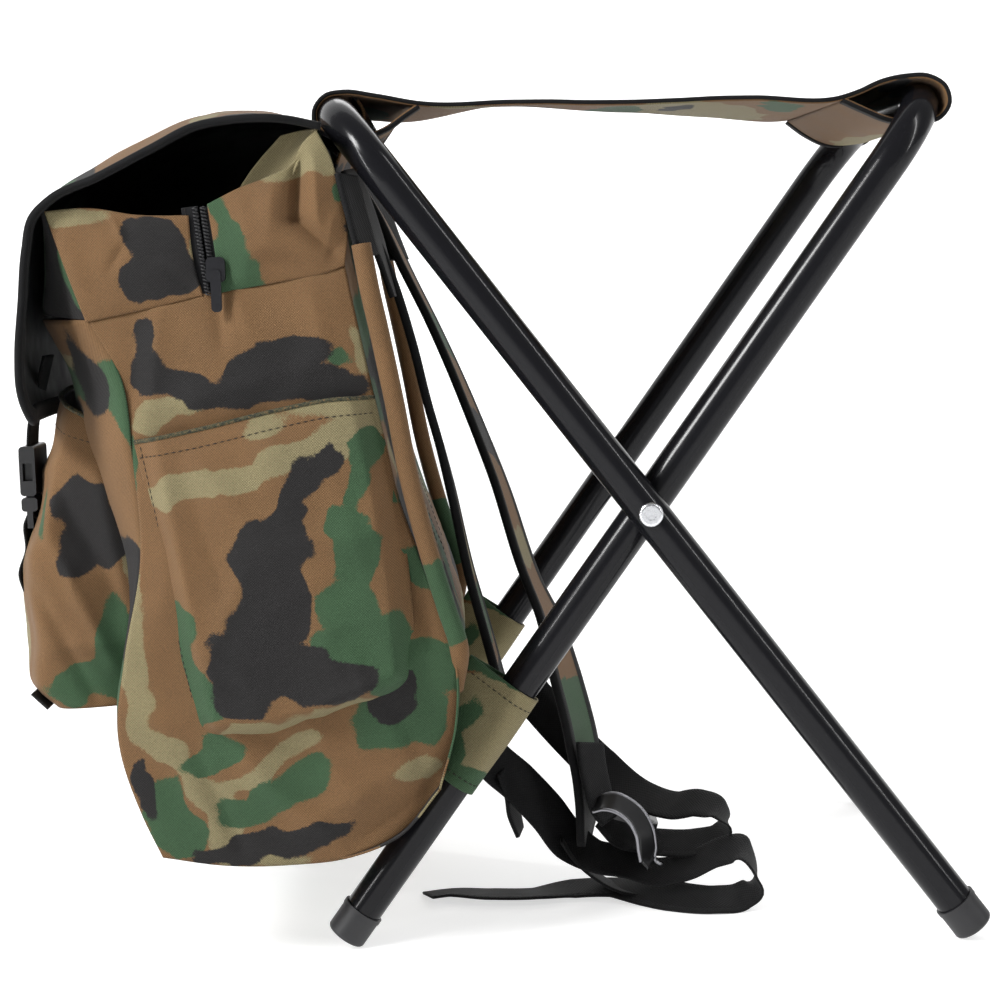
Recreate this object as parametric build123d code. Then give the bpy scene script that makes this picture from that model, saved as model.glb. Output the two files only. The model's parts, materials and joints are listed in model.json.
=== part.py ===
from build123d import *
import os
from math import sin, cos, radians

# Folding field stool made of two crossed U-shaped tubes, with a camouflage rucksack hung
# on one top bar.  Everything is laid out round the pivot, with X to the front, Y along the
# pivot and Z up, and is then moved so that the origin is on the ground under the middle.

# ---- frame, mm and degrees ----
TUBE_D = 19.0
TUBE_WALL = 1.0
HALF_ANGLE = radians(36.5)
BAR_REACH = 246.3
CAP_REACH = 265.0
BEND_R = 42.0
OUTER_HALF = 135.5
INNER_HALF = 114.5
CAP_R = 10.3
CAP_LENGTH = 17.0
CAP_FLOOR = 2.5
CAP_ROUND = 2.0
LIP_R = 10.7
LIP_LENGTH = 2.5
RIVET_D = 6.0
RIVET_PLAY = 0.05
HEAD_D = 12.0
HEAD_HEIGHT = 2.4
TAIL_D = 9.0
TAIL_HEIGHT = 1.6
WASHER_D = 14.0
WASHER_PLAY = 0.1

# ---- seat ----
CASING_IN = 10.0
CASING_OUT = 11.8
CASING_MARGIN = 2.0
SEAT_HALF = 100.0
SEAT_TOP = 203.0
SEAT_THICK = 2.0
STITCH_X = 106.0
BINDING = 3.0

# ---- leg sleeves ----
SLEEVE_AT = 139.0
SLEEVE_LENGTH = 58.0
SLEEVE_IN = 9.8
SLEEVE_OUT = 11.2

# ---- rucksack, side view (x, z) from the pivot ----
CLOTH = 1.6
PACK_HALF = 145.0
BACK_LINE = [(-153, 182), (-105, -82), (-112, -130), (-147, -163)]
FRONT_LINE = [(-264, 102), (-248, 56), (-248, -20), (-260, -95), (-243, -161)]
SEAM_REAR = (-142.5, 124.0)
CUFF_FRONT = (-282, 154)
CUFF_ZIP = (-212, 153)
CUFF_DIP = (-199, 158)
CUFF_REAR = (-163, 175)
HANGER_IN = 12.4
HANGER_OUT = 14.0
HANGER_HALF = 84.0
PAD_HALF = 95.0
PAD_THICK = 9.0
PAD_SKIN = 1.2

# ---- zips on the cuff ----
ZIP_TOP = (-206, 152)
ZIP_FOOT = (-204, 116)
ZIP_WIDTH = 14.0
CHAIN_WIDTH = 5.0
CHAIN_PROUD = 1.2
SLIDER_WIDTH = 9.0
SLIDER_LENGTH = 12.0
SLIDER_THICK = 3.0
PULL_LENGTH = 20.0

# ---- pockets ----
SIDE_POCKET = [(-245, 43), (-225, -102), (-148, -92), (-117, -80), (-131, 58)]
SIDE_POCKET_DEPTH = 15.0
FRONT_POCKET_HALF = 108.0
FRONT_POCKET = [(-286, 63), (-297, 10), (-305, -25), (-305, -85), (-262, -93)]

# ---- flap ----
FLAP_HALF = 149.0
FLAP_CORNER = 18.0
FLAP_LINE = [(-164.2, 190.5), (-205, 193), (-287, 162), (-300, 120), (-301, 56)]

# ---- webbing, buckles and straps ----
WEB = 25.0
WEB_THICK = 1.6
BUCKLE_AT = 78.0
BUCKLE_X = -309.5
BUCKLE_WIDTH = 32.0
BUCKLE_THICK = 8.0
STRAP_WIDTH = 54.0
STRAP_THICK = 6.0
STRAP_NEAR_AT = -62.0
STRAP_LEAN = 12.2
LOCK_WIDTH = 36.0
LOCK_LENGTH = 30.0
LOCK_BAR = 3.2
LOCK_AT = (-6.0, -176.0)
LOCK_TILT = -18.0
LOCK_Y = -32.0
ADJUSTER_TURN = 38.0

# ---- placing ----
PIVOT_X = 75.1
PIVOT_Z = CAP_REACH * cos(HALF_ANGLE) + (CAP_R - CAP_ROUND) * sin(HALF_ANGLE)
PIVOT_Z += CAP_ROUND * (1 - cos(HALF_ANGLE))

BASE = (Align.CENTER, Align.CENTER, Align.MIN)
OUTER, INNER = -1, 1
NEAR, FAR = -1, 1


# ---------------------------------------------------------------- helpers
def leg_direction(frame):
    """Unit vector up a leg.  The outer frame's top leans to -X and the inner one's to +X."""
    return Vector(frame * sin(HALF_ANGLE), 0, cos(HALF_ANGLE))


def leg_plane(frame):
    """Plane of one U: its x runs along the pivot and its y runs up the legs."""
    return Plane(origin=(0, 0, 0), x_dir=(0, 1, 0), z_dir=(cos(HALF_ANGLE), 0, -frame * sin(HALF_ANGLE)))


def bar_centre(frame):
    """Centre (x, z) of a top bar."""
    middle = leg_direction(frame) * BAR_REACH
    return middle.X, middle.Z


def along_pivot(radius, y_low, y_high, x=0.0, z=0.0):
    """Round bar parallel to the pivot."""
    return Pos(x, y_high, z) * Rot(90, 0, 0) * Cylinder(radius, y_high - y_low, align=BASE)


def side_solid(face_or_points, y_low, y_high):
    """Side-view outline made solid from y_low to y_high."""
    face = face_or_points
    if isinstance(face, list):
        face = make_face(Polyline(*face, close=True))
    plane = Plane(origin=(0, y_high, 0), x_dir=(1, 0, 0), z_dir=(0, -1, 0))
    return extrude(plane * face, amount=y_high - y_low)


def offset_points(points, distance):
    """The same bent line, moved to its left, with its corners mitred."""
    line = [Vector(*p) for p in points]
    runs = [(b - a).normalized() for a, b in zip(line, line[1:])]
    normals = [Vector(-r.Y, r.X) for r in runs]
    moved = []
    for i, corner in enumerate(line):
        before = normals[max(i - 1, 0)]
        after = normals[min(i, len(normals) - 1)]
        shift = (before + after) * (distance / (1 + before.dot(after)))
        moved.append((corner.X + shift.X, corner.Y + shift.Y))
    return moved


def wall(points, thickness, y_low, y_high):
    """Bent sheet whose side view follows the points and thickens to their left."""
    outline = list(points) + offset_points(points, thickness)[::-1]
    return side_solid(outline, y_low, y_high)


def band(points, radius, thickness, y_low, y_high):
    """Strap or webbing of even thickness, whose side view bends in arcs."""
    line = FilletPolyline(*points, radius=radius)
    return side_solid(trace(line, line_width=thickness), y_low, y_high)


def both_sides(shape):
    """A piece and its mirror image across the middle plane, as one group."""
    return Compound(children=[shape, mirror(shape, about=Plane.XZ)])


# ---------------------------------------------------------------- stool frame
def frame_tube(frame, half_width):
    """One bent steel tube, with its rivet holes drilled."""
    end = CAP_FLOOR - CAP_REACH
    corners = [(-half_width, end), (-half_width, BAR_REACH), (half_width, BAR_REACH), (half_width, end)]
    path = leg_plane(frame) * FilletPolyline(*corners, radius=BEND_R)
    ring = Circle(TUBE_D / 2) - Circle(TUBE_D / 2 - TUBE_WALL)
    tube = sweep(Plane(origin=path @ 0, z_dir=path % 0) * ring, path=path)
    return tube - along_pivot(RIVET_D / 2 + RIVET_PLAY, -2 * half_width, 2 * half_width)


def foot_cap(frame, y):
    """Moulded cap with a rounded sole and a small lip, pushed over a leg's end."""
    cap = Cylinder(CAP_R, CAP_LENGTH, align=BASE)
    cap = fillet(cap.edges().group_by(Axis.Z)[0], CAP_ROUND)
    lip = Pos(0, 0, CAP_LENGTH - LIP_LENGTH) * Cylinder(LIP_R, LIP_LENGTH, align=BASE)
    bore = Pos(0, 0, CAP_FLOOR) * Cylinder(TUBE_D / 2, CAP_LENGTH, align=BASE)
    up = leg_direction(frame)
    foot = up * -CAP_REACH + Vector(0, y, 0)
    return Plane(origin=foot, z_dir=up) * (cap + lip - bore)


def rivet():
    """Near rivet: dished head outside the outer leg, shank, and clenched tail inside the inner leg."""
    outside = -OUTER_HALF - TUBE_D / 2
    inside = -INNER_HALF + TUBE_D / 2
    head = along_pivot(HEAD_D / 2, outside - HEAD_HEIGHT, outside)
    head = fillet(head.edges().sort_by(Axis.Y)[0], 1.6)
    dish = along_pivot(2.6, outside - HEAD_HEIGHT, outside - HEAD_HEIGHT + 1.0)
    tail = along_pivot(TAIL_D / 2, inside, inside + TAIL_HEIGHT)
    return head - dish + along_pivot(RIVET_D / 2, outside, inside) + tail


def washer():
    """Near spacer washer between the two legs."""
    low = -OUTER_HALF + TUBE_D / 2 + WASHER_PLAY
    high = -INNER_HALF - TUBE_D / 2 - WASHER_PLAY
    return along_pivot(WASHER_D / 2, low, high) - along_pivot(RIVET_D / 2 + RIVET_PLAY, low, high)


# ---------------------------------------------------------------- seat
def bar_casing(frame, half_width):
    """Cloth tube round the straight part of a top bar."""
    x, z = bar_centre(frame)
    reach = half_width - BEND_R - CASING_MARGIN
    outside = along_pivot(CASING_OUT, -reach, reach, x, z)
    return outside - along_pivot(CASING_IN, -reach, reach, x, z)


def seat_section():
    """Side view of the seat: a flat sheet that splits into two strands at each end."""
    x, z = bar_centre(INNER)
    tip = x - 9.0
    low = SEAT_TOP - SEAT_THICK
    rise = z + CASING_OUT + 0.6
    drop = z - CASING_OUT + 3.0
    short = tip - 9.0
    upper = [(STITCH_X, low), (STITCH_X, SEAT_TOP), (tip, rise + SEAT_THICK), (tip, rise)]
    lower = [(STITCH_X - 2, low), (STITCH_X + 2, SEAT_TOP), (short, drop + SEAT_THICK), (short, drop)]
    right = make_face(Polyline(*upper, close=True)) + make_face(Polyline(*lower, close=True))
    sheet = Pos(0, SEAT_TOP - SEAT_THICK / 2) * Rectangle(2 * STITCH_X, SEAT_THICK)
    return sheet + right + mirror(right, about=Plane.YZ)


def seat_binding(side):
    """Tape folded over one long edge of the seat."""
    low = SEAT_HALF if side == FAR else -SEAT_HALF - BINDING
    return side_solid(seat_section(), low, low + BINDING)


def leg_sleeve(y):
    """Cloth sleeve that holds the rucksack's lower corner to an inner leg and slides on it."""
    up = leg_direction(INNER)
    start = up * -(SLEEVE_AT + SLEEVE_LENGTH / 2) + Vector(0, y, 0)
    ring = Cylinder(SLEEVE_OUT, SLEEVE_LENGTH, align=BASE) - Cylinder(SLEEVE_IN, SLEEVE_LENGTH, align=BASE)
    return Plane(origin=start, z_dir=up) * ring


# ---------------------------------------------------------------- rucksack body
def back_at(z):
    """X of the back panel's outside face at a height."""
    (x0, z0), (x1, z1) = BACK_LINE[0], BACK_LINE[1]
    return x0 + (x1 - x0) * (z - z0) / (z1 - z0)


def side_panel(side):
    """One side of the bag below the cuff seam."""
    outline = FRONT_LINE + BACK_LINE[:0:-1] + [SEAM_REAR]
    return cloth_side(outline, side)


def cloth_side(outline, side):
    """Flat cloth panel on the near or far side of the bag."""
    low = -PACK_HALF if side == NEAR else PACK_HALF - CLOTH
    return side_solid(outline, low, low + CLOTH)


def zip_strip(width, longer=0.0):
    """Side view of a strip down the zip, which may run on above its top."""
    half = width / 2
    lean = (ZIP_TOP[0] - ZIP_FOOT[0]) / (ZIP_TOP[1] - ZIP_FOOT[1])
    x, z = ZIP_TOP[0] + lean * longer, ZIP_TOP[1] + longer
    return [(x - half, z), (x + half, z), (ZIP_FOOT[0] + half, ZIP_FOOT[1]), (ZIP_FOOT[0] - half, ZIP_FOOT[1])]


def cuff_side(side):
    """One side of the cuff above the seam, with a slit for the zip."""
    outline = [FRONT_LINE[0], SEAM_REAR, BACK_LINE[0], CUFF_REAR, CUFF_DIP, CUFF_ZIP, CUFF_FRONT]
    return cloth_side(outline, side) - cloth_side(zip_strip(ZIP_WIDTH, 20.0), side)


def cuff_zip(side):
    """Zip tape with its closed chain standing a little proud."""
    low = -PACK_HALF - CHAIN_PROUD if side == NEAR else PACK_HALF
    chain = side_solid(zip_strip(CHAIN_WIDTH), low, low + CHAIN_PROUD)
    return cloth_side(zip_strip(ZIP_WIDTH), side) + chain


def zip_slider(side):
    """Slider and its pull tab, a hair clear of the chain it runs on."""
    start = PACK_HALF + CHAIN_PROUD + 0.3
    x, z = ZIP_FOOT[0], ZIP_FOOT[1] + 2
    body = Pos(x, start + SLIDER_THICK / 2, z + SLIDER_LENGTH / 2)
    body = body * Box(SLIDER_WIDTH, SLIDER_THICK, SLIDER_LENGTH)
    body = fillet(body.edges().filter_by(Axis.Y), 2.5)
    tab = Pos(x, start + SLIDER_THICK + 0.7, z + 6 - PULL_LENGTH / 2) * Box(5.0, 1.4, PULL_LENGTH)
    slider = body + fillet(tab.edges().filter_by(Axis.Y), 2.0)
    return slider if side == FAR else mirror(slider, about=Plane.XZ)


def front_panel():
    """Front of the bag from the cuff seam to the bottom edge."""
    inner = PACK_HALF - CLOTH
    return wall(FRONT_LINE, CLOTH, -inner, inner)


def cuff_front():
    """Front of the cuff, ending just above the front panel's top edge."""
    inner = PACK_HALF - CLOTH
    x, z = FRONT_LINE[0]
    return wall([CUFF_FRONT, (x - 0.1, z + 0.3)], CLOTH, -inner, inner)


def back_panel():
    """Back of the bag, from the top bar down to the rear edge of the bottom."""
    inner = PACK_HALF - CLOTH
    return wall(BACK_LINE[:3], -CLOTH, -inner, inner)


def bottom_panel():
    """Bottom of the bag, up its short rear slope."""
    inner = PACK_HALF - CLOTH
    line = [FRONT_LINE[-1], BACK_LINE[3], BACK_LINE[2]]
    panel = wall(line, CLOTH, -inner, inner)
    return panel - front_panel() - back_panel()


def pad_outline(inset):
    """Side view of the padded back, standing on the back panel's outside."""
    high, low = 110.0, -78.0
    skin = [(back_at(high) + inset, high - inset), (back_at(low) + inset, low + inset)]
    proud = [(back_at(low + 12) + PAD_THICK - inset, low + 12), (back_at(high - 12) + PAD_THICK - inset, high - 12)]
    return skin + proud


def back_pad():
    """Cloth cover of the padded back."""
    cover = side_solid(pad_outline(0.0), -PAD_HALF, PAD_HALF)
    room = side_solid(pad_outline(PAD_SKIN), -PAD_HALF + PAD_SKIN, PAD_HALF - PAD_SKIN)
    return cover - room


def back_foam():
    """Foam sheet inside the padded back."""
    inset = PAD_SKIN
    return side_solid(pad_outline(inset), -PAD_HALF + inset, PAD_HALF - inset)


def pack_hanger():
    """Cloth loop that hangs the bag's top edge on the outer frame's bar, over the seat casing."""
    x, z = bar_centre(OUTER)
    loop = along_pivot(HANGER_OUT, -HANGER_HALF, HANGER_HALF, x, z)
    tail = [(x - 12, z - 4), (x - 4, z - 4), (BACK_LINE[0][0], BACK_LINE[0][1]), (-154.5, 181.7)]
    hanger = loop + side_solid(tail, -HANGER_HALF, HANGER_HALF)
    hanger = hanger - along_pivot(HANGER_IN, -HANGER_HALF, HANGER_HALF, x, z) - back_panel()
    slit = side_solid([(x, z - 8), (x + 30, z - 8), (x + 30, z + 30), (x, z + 30)], -HANGER_HALF, HANGER_HALF)
    return hanger - slit


# ---------------------------------------------------------------- pockets
def side_pocket(side):
    """Open-topped pocket on one side: an outside face with three edges turned in to the bag."""
    rim_left, rim_right = SIDE_POCKET[0], SIDE_POCKET[-1]
    near = -PACK_HALF - SIDE_POCKET_DEPTH
    outside = side_solid(SIDE_POCKET, near, -PACK_HALF)
    room = offset_points(SIDE_POCKET, CLOTH)
    room = [(room[0][0] + 2, rim_left[1] + 30)] + room + [(room[-1][0] - 2, rim_right[1] + 30)]
    pocket = outside - side_solid(room, near + CLOTH, -PACK_HALF)
    return pocket if side == NEAR else mirror(pocket, about=Plane.XZ)


def front_pocket():
    """Big open-topped pocket on the front: a face, a floor and two side gussets."""
    face = wall(FRONT_POCKET, CLOTH, -FRONT_POCKET_HALF, FRONT_POCKET_HALF)
    gusset = FRONT_POCKET + [(-262, -90), (-251, -30), (-250, 40)]
    low = -FRONT_POCKET_HALF
    near = side_solid(gusset, low, low + CLOTH)
    far = side_solid(gusset, -low - CLOTH, -low)
    front = FRONT_LINE + [(-200, -161), (-200, 102)]
    return face + near + far - side_solid(front, -PACK_HALF, PACK_HALF)


# ---------------------------------------------------------------- flap and buckles
def flap_panel():
    """Lid of the bag: a bent sheet with its front part hanging down."""
    panel = wall(FLAP_LINE, 2 * CLOTH, -FLAP_HALF, FLAP_HALF)
    across = panel.edges().filter_by(lambda edge: edge.length < 2 * CLOTH + 0.1)
    return fillet(across.sort_by(Axis.Z)[:2], FLAP_CORNER)


def flap_binding(side):
    """Tape along one side edge of the flap."""
    tape = wall(offset_points(FLAP_LINE, -0.6)[:-1] + [(-300.4, 76)], 2 * CLOTH + 1.2, FLAP_HALF, FLAP_HALF + 2)
    return tape if side == FAR else mirror(tape, about=Plane.XZ)


def flap_webbing(y):
    """Webbing sewn under the flap, from which a buckle hangs."""
    x, z = FLAP_LINE[-1]
    strand = [(x + 5.2, z + 26), (x + 5.2, z - 2), (BUCKLE_X, z - 8), (BUCKLE_X, z - 17)]
    return band(strand, 2.5, WEB_THICK, y - WEB / 2, y + WEB / 2)


def buckle_socket(y):
    """Upper half of a side-release buckle: a flat box open at its mouth."""
    top, length = 39.0, 25.0
    shell = Pos(BUCKLE_X, y, top - length / 2) * Box(BUCKLE_THICK, BUCKLE_WIDTH, length)
    shell = fillet(shell.edges().filter_by(Axis.Y), 2.0)
    room = Pos(BUCKLE_X, y, top - length / 2 - 3) * Box(BUCKLE_THICK - 3.2, BUCKLE_WIDTH - 5, length)
    windows = Pos(BUCKLE_X, y, top - 13) * Box(BUCKLE_THICK - 3.2, BUCKLE_WIDTH + 2, 9)
    return shell - room - windows


def buckle_plug(y):
    """Lower half of the buckle: three prongs on a bar, with a bridge for the tail webbing."""
    mouth = 14.0
    thick = BUCKLE_THICK - 4.0
    base = Pos(BUCKLE_X, y, mouth - 4.5) * Box(BUCKLE_THICK, BUCKLE_WIDTH - 2, 7)
    base = fillet(base.edges().filter_by(Axis.Y), 1.8)
    prongs = [Pos(BUCKLE_X, y + d, mouth + 8) * Box(thick, 3.5, 20) for d in (-10.5, 0, 10.5)]
    bridge = Pos(BUCKLE_X, y, mouth - 11.5) * Box(3.0, BUCKLE_WIDTH - 2, 10)
    gap = Pos(BUCKLE_X, y, mouth - 11.0) * Box(4.0, WEB + 0.6, 4.0)
    return base + prongs[0] + prongs[1] + prongs[2] + bridge - gap


def plug_tail(y):
    """Loose end of webbing folded through the plug's bridge."""
    z = 3.0
    tail = [(BUCKLE_X + 2.4, z - 12), (BUCKLE_X + 2.4, z), (BUCKLE_X - 2.8, z), (BUCKLE_X - 5.0, z - 38)]
    return band(tail, 1.2, WEB_THICK, y - WEB / 2, y + WEB / 2)


# ---------------------------------------------------------------- shoulder straps
def strap_near():
    """Near shoulder strap, hanging from the back's top to the near bottom corner."""
    line = [(-138.5, 158), (-118, 112), (-102, 59), (-86, -31), (-77, -94), (-62, -128)]
    y = STRAP_NEAR_AT
    return band(line, 30.0, STRAP_THICK, y - STRAP_WIDTH / 2, y + STRAP_WIDTH / 2)


def strap_far():
    """Far shoulder strap, which leans towards the near side on its way down to its ladder lock."""
    line = [(-136, 158), (-110, 104), (-85, 46), (-60, -38), (-43, -100), (-27, -136)]
    strap = band(line, 30.0, STRAP_THICK, -STRAP_WIDTH / 2, STRAP_WIDTH / 2)
    return Rot(-STRAP_LEAN, 0, 0) * strap


def strap_anchor(y):
    """Ribbed webbing that sews a strap's head to the back panel."""
    high, low = 172.0, 128.0
    line = [(back_at(high), high), (back_at(low), low)]
    return wall(line, 3 * WEB_THICK, y - STRAP_WIDTH / 2, y + STRAP_WIDTH / 2)


def lock_point(along, above):
    """Side-view point measured along and above the ladder lock."""
    turn = radians(LOCK_TILT)
    x = LOCK_AT[0] + along * cos(turn) - above * sin(turn)
    return x, LOCK_AT[1] + along * sin(turn) + above * cos(turn)


def ladder_lock():
    """Three-bar webbing adjuster with rounded ends."""
    plate = Box(LOCK_LENGTH, LOCK_WIDTH, LOCK_BAR)
    plate = fillet(plate.edges().filter_by(Axis.Z), 7.0)
    slot = Box(9.0, WEB + 2.5, LOCK_BAR)
    lock = plate - Pos(-6.5, 0, 0) * slot - Pos(6.5, 0, 0) * slot
    return Pos(LOCK_AT[0], LOCK_Y, LOCK_AT[1]) * Rot(0, -LOCK_TILT, 0) * lock


def strap_tongue():
    """Webbing sewn to the far strap's foot and looped round the lock's left bar."""
    line = [(-19, -145), (-20, -160), lock_point(-18, 3.2), lock_point(-7, 3.4), lock_point(-7, -3.4), lock_point(-15, -3.6)]
    return band(line, 1.6, WEB_THICK, LOCK_Y - WEB / 2, LOCK_Y + WEB / 2)


def adjuster_far():
    """Far webbing: from the bag's far bottom corner to the lock, round its middle bar and out along the ground."""
    low, high = LOCK_Y - WEB / 2, LOCK_Y + WEB / 2
    slack = [(-104, -110), (-80, -106), (-53, -112), (16, -162), (36, -160)]
    start = band(slack, 10.0, WEB_THICK, low, high)
    turn = Pos(slack[-1][0], LOCK_Y, 0)
    start = turn * Rot(0, 0, -ADJUSTER_TURN) * turn.inverse() * start
    rest = [(30, -160.6), (45, -158), (56, -172), (44, -186),
            lock_point(22, 3.6), lock_point(4, 3.4), lock_point(4, -3.4), lock_point(20, -4.2),
            (44, -193), (60, -188), (62, -204), (50, -215.6), (-116, -216.4)]
    radii = [6, 6, 6, 6, 1.8, 1.8, 6, 8, 6, 6, 8]
    path = FilletPolyline(*rest, radius=radii)
    return start + side_solid(trace(path, line_width=WEB_THICK), low, high)


def adjuster_near():
    """Near webbing: from the bag's near bottom corner, under the near strap and back towards the ground."""
    line = [(-104, -116), (-70, -126), (-46, -146), (-30, -178), (-4, -204), (24, -210)]
    y = STRAP_NEAR_AT - 4
    return band(line, 12.0, WEB_THICK, y - WEB / 2, y + WEB / 2)


# ---------------------------------------------------------------- write the parts
def save(name, shape):
    """Move a piece to the row's origin and write it."""
    placed = Pos(PIVOT_X, 0, PIVOT_Z) * shape
    export_step(placed, os.path.join("parts", name + ".step"))


def save_pair(name, make, offset=None):
    """Write the near and far copies of a piece that is made for a side or for a Y."""
    for label, side in (("near", NEAR), ("far", FAR)):
        save(name + "_" + label, make(side * offset if offset else side))


os.makedirs("parts", exist_ok=True)

save("inner_frame_tube", frame_tube(INNER, INNER_HALF))
save("outer_frame_tube", frame_tube(OUTER, OUTER_HALF))
save("inner_foot_caps", both_sides(foot_cap(INNER, -INNER_HALF)))
save("outer_foot_caps", both_sides(foot_cap(OUTER, -OUTER_HALF)))
save("pivot_rivets", both_sides(rivet()))
save("pivot_washers", both_sides(washer()))

save("seat_panel", side_solid(seat_section(), -SEAT_HALF, SEAT_HALF))
save_pair("seat_binding", seat_binding)
save("seat_casing_inner_bar", bar_casing(INNER, INNER_HALF))
save("seat_casing_outer_bar", bar_casing(OUTER, OUTER_HALF))
save_pair("leg_sleeve", leg_sleeve, INNER_HALF)

save("back_panel", back_panel())
save("back_pad", back_pad())
save("back_foam", back_foam())
save("front_panel", front_panel())
save("bottom_panel", bottom_panel())
save_pair("side_panel", side_panel)
save("cuff_front", cuff_front())
save_pair("cuff_side", cuff_side)
save_pair("cuff_zip", cuff_zip)
save_pair("zip_slider", zip_slider)
save("pack_hanger", pack_hanger())
save_pair("side_pocket", side_pocket)
save("front_pocket", front_pocket())

save("flap_panel", flap_panel())
save_pair("flap_binding", flap_binding)
save_pair("flap_webbing", flap_webbing, BUCKLE_AT)
save_pair("buckle_socket", buckle_socket, BUCKLE_AT)
save_pair("buckle_plug", buckle_plug, BUCKLE_AT)
save_pair("plug_tail", plug_tail, BUCKLE_AT)

save("shoulder_strap_near", strap_near())
save("shoulder_strap_far", strap_far())
save("strap_anchor_near", strap_anchor(STRAP_NEAR_AT))
save("strap_anchor_far", strap_anchor(-STRAP_NEAR_AT - 22))
save("ladder_lock", ladder_lock())
save("strap_tongue", strap_tongue())
save("adjuster_webbing_far", adjuster_far())
save("adjuster_webbing_near", adjuster_near())
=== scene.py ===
"""Looks of the folding field stool with its camouflage rucksack.

Shapes are worked out in millimetres from the stool's pivot, with X from the rucksack towards the free feet,
Y along the pivot away from the camera's side and Z up, and are moved into the frame when their mesh is made.
"""

import json
import math

import bpy
import numpy as np
from mathutils import Matrix, Vector


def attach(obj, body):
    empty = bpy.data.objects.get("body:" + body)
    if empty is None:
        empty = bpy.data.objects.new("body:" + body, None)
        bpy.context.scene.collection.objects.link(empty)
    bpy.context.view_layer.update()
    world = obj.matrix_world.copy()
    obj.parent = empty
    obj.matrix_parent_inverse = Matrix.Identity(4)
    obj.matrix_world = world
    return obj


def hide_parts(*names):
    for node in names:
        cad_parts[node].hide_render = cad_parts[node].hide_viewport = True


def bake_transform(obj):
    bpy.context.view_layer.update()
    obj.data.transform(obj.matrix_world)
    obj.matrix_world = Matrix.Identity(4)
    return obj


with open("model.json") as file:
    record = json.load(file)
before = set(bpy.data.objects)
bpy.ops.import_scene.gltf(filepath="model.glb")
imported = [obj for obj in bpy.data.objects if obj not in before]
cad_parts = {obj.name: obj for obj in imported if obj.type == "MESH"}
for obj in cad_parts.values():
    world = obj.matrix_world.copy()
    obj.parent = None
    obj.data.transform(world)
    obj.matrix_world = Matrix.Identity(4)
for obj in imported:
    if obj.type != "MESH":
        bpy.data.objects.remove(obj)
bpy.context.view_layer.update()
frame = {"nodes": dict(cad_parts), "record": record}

JOINTS = {joint["name"]: joint for joint in frame["record"]["behaviour"]["joints"]}
PIVOT = np.array(JOINTS["frame_fold"]["pos_m"])
NEAR, FAR = -1, 1
SIDE_NAMES = {NEAR: "near", FAR: "far"}
COLOURS = ("tan", "green", "black")
EYE = (-87.01, -1157.61, 115.94)
HALF_ANGLE = math.radians(36.5)
BAR = np.array([246.3 * math.sin(HALF_ANGLE), 246.3 * math.cos(HALF_ANGLE)])
LEG = np.array([math.sin(HALF_ANGLE), 0.0, math.cos(HALF_ANGLE)])


def place(points):
    """Millimetres from the pivot, as metres in the frame."""
    return PIVOT + np.asarray(points, float) / 1000


# ------------------------------------------------------------------ numbers
def smooth(t):
    t = np.clip(t, 0, 1)
    return t * t * (3 - 2 * t)


def spline(points, count):
    """Evenly spaced points on a smooth curve through the given ones."""
    p = np.array(points, float)
    d = np.r_[0, np.cumsum(np.linalg.norm(np.diff(p, axis=0), axis=1))]
    m = np.gradient(p, d, axis=0)
    t = np.linspace(0, d[-1], count)
    k = np.clip(np.searchsorted(d, t, side="right") - 1, 0, len(d) - 2)
    h = (d[k + 1] - d[k])[:, None]
    s = (t - d[k])[:, None] / h
    first = (2 * s**3 - 3 * s**2 + 1) * p[k] + (s**3 - 2 * s**2 + s) * h * m[k]
    return first + (3 * s**2 - 2 * s**3) * p[k + 1] + (s**3 - s**2) * h * m[k + 1]


def along(points, values, count):
    """Values given at the points of a path, as they are at even steps along it."""
    run = np.r_[0, np.cumsum(np.linalg.norm(np.diff(np.array(points, float), axis=0), axis=1))]
    steps = np.linspace(0, run[-1], count)
    return np.stack([np.interp(steps, run, column) for column in np.array(values, float).T], axis=1)


def at_y(points, y):
    """Side-view points (x, z) as points at one y."""
    return [(x, y, z) for x, z in points]


def noise(x, y, seed):
    """Seeded smooth noise from -1 to 1, one cell to the unit."""
    xi, yi = np.floor(x), np.floor(y)
    fx, fy = smooth(x - xi), smooth(y - yi)

    def corner(i, j):
        h = np.sin((xi + i) * 127.1 + (yi + j) * 311.7 + seed * 74.7) * 43758.5453
        return 2 * (h - np.floor(h)) - 1

    low = corner(0, 0) * (1 - fx) + corner(1, 0) * fx
    high = corner(0, 1) * (1 - fx) + corner(1, 1) * fx
    return low * (1 - fy) + high * fy


def patch(left, right, bottom, top, rows=60, columns=60):
    """Surface inside four edge curves. left and right run up, bottom and top run from left to right."""
    lo, hi = spline(left, rows)[:, None], spline(right, rows)[:, None]
    b, t = spline(bottom, columns)[None], spline(top, columns)[None]
    u = np.linspace(0, 1, columns)[None, :, None]
    v = np.linspace(0, 1, rows)[:, None, None]
    flat = (1 - u) * (1 - v) * b[:, :1] + u * (1 - v) * b[:, -1:] + (1 - u) * v * t[:, :1] + u * v * t[:, -1:]
    return (1 - v) * b + v * t + (1 - u) * lo + u * hi - flat


def shares(grid):
    """How far along and up a surface each of its points is, from 0 to 1."""
    rows, columns = grid.shape[:2]
    return np.meshgrid(np.linspace(0, 1, columns), np.linspace(0, 1, rows))


def bulged(grid, out, height, power=0.7):
    """Swells a surface between its edges."""
    u, v = shares(grid)
    lift = height * (np.sin(np.pi * u) * np.sin(np.pi * v)) ** power
    return grid + lift[..., None] * np.array(out, float)


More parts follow.
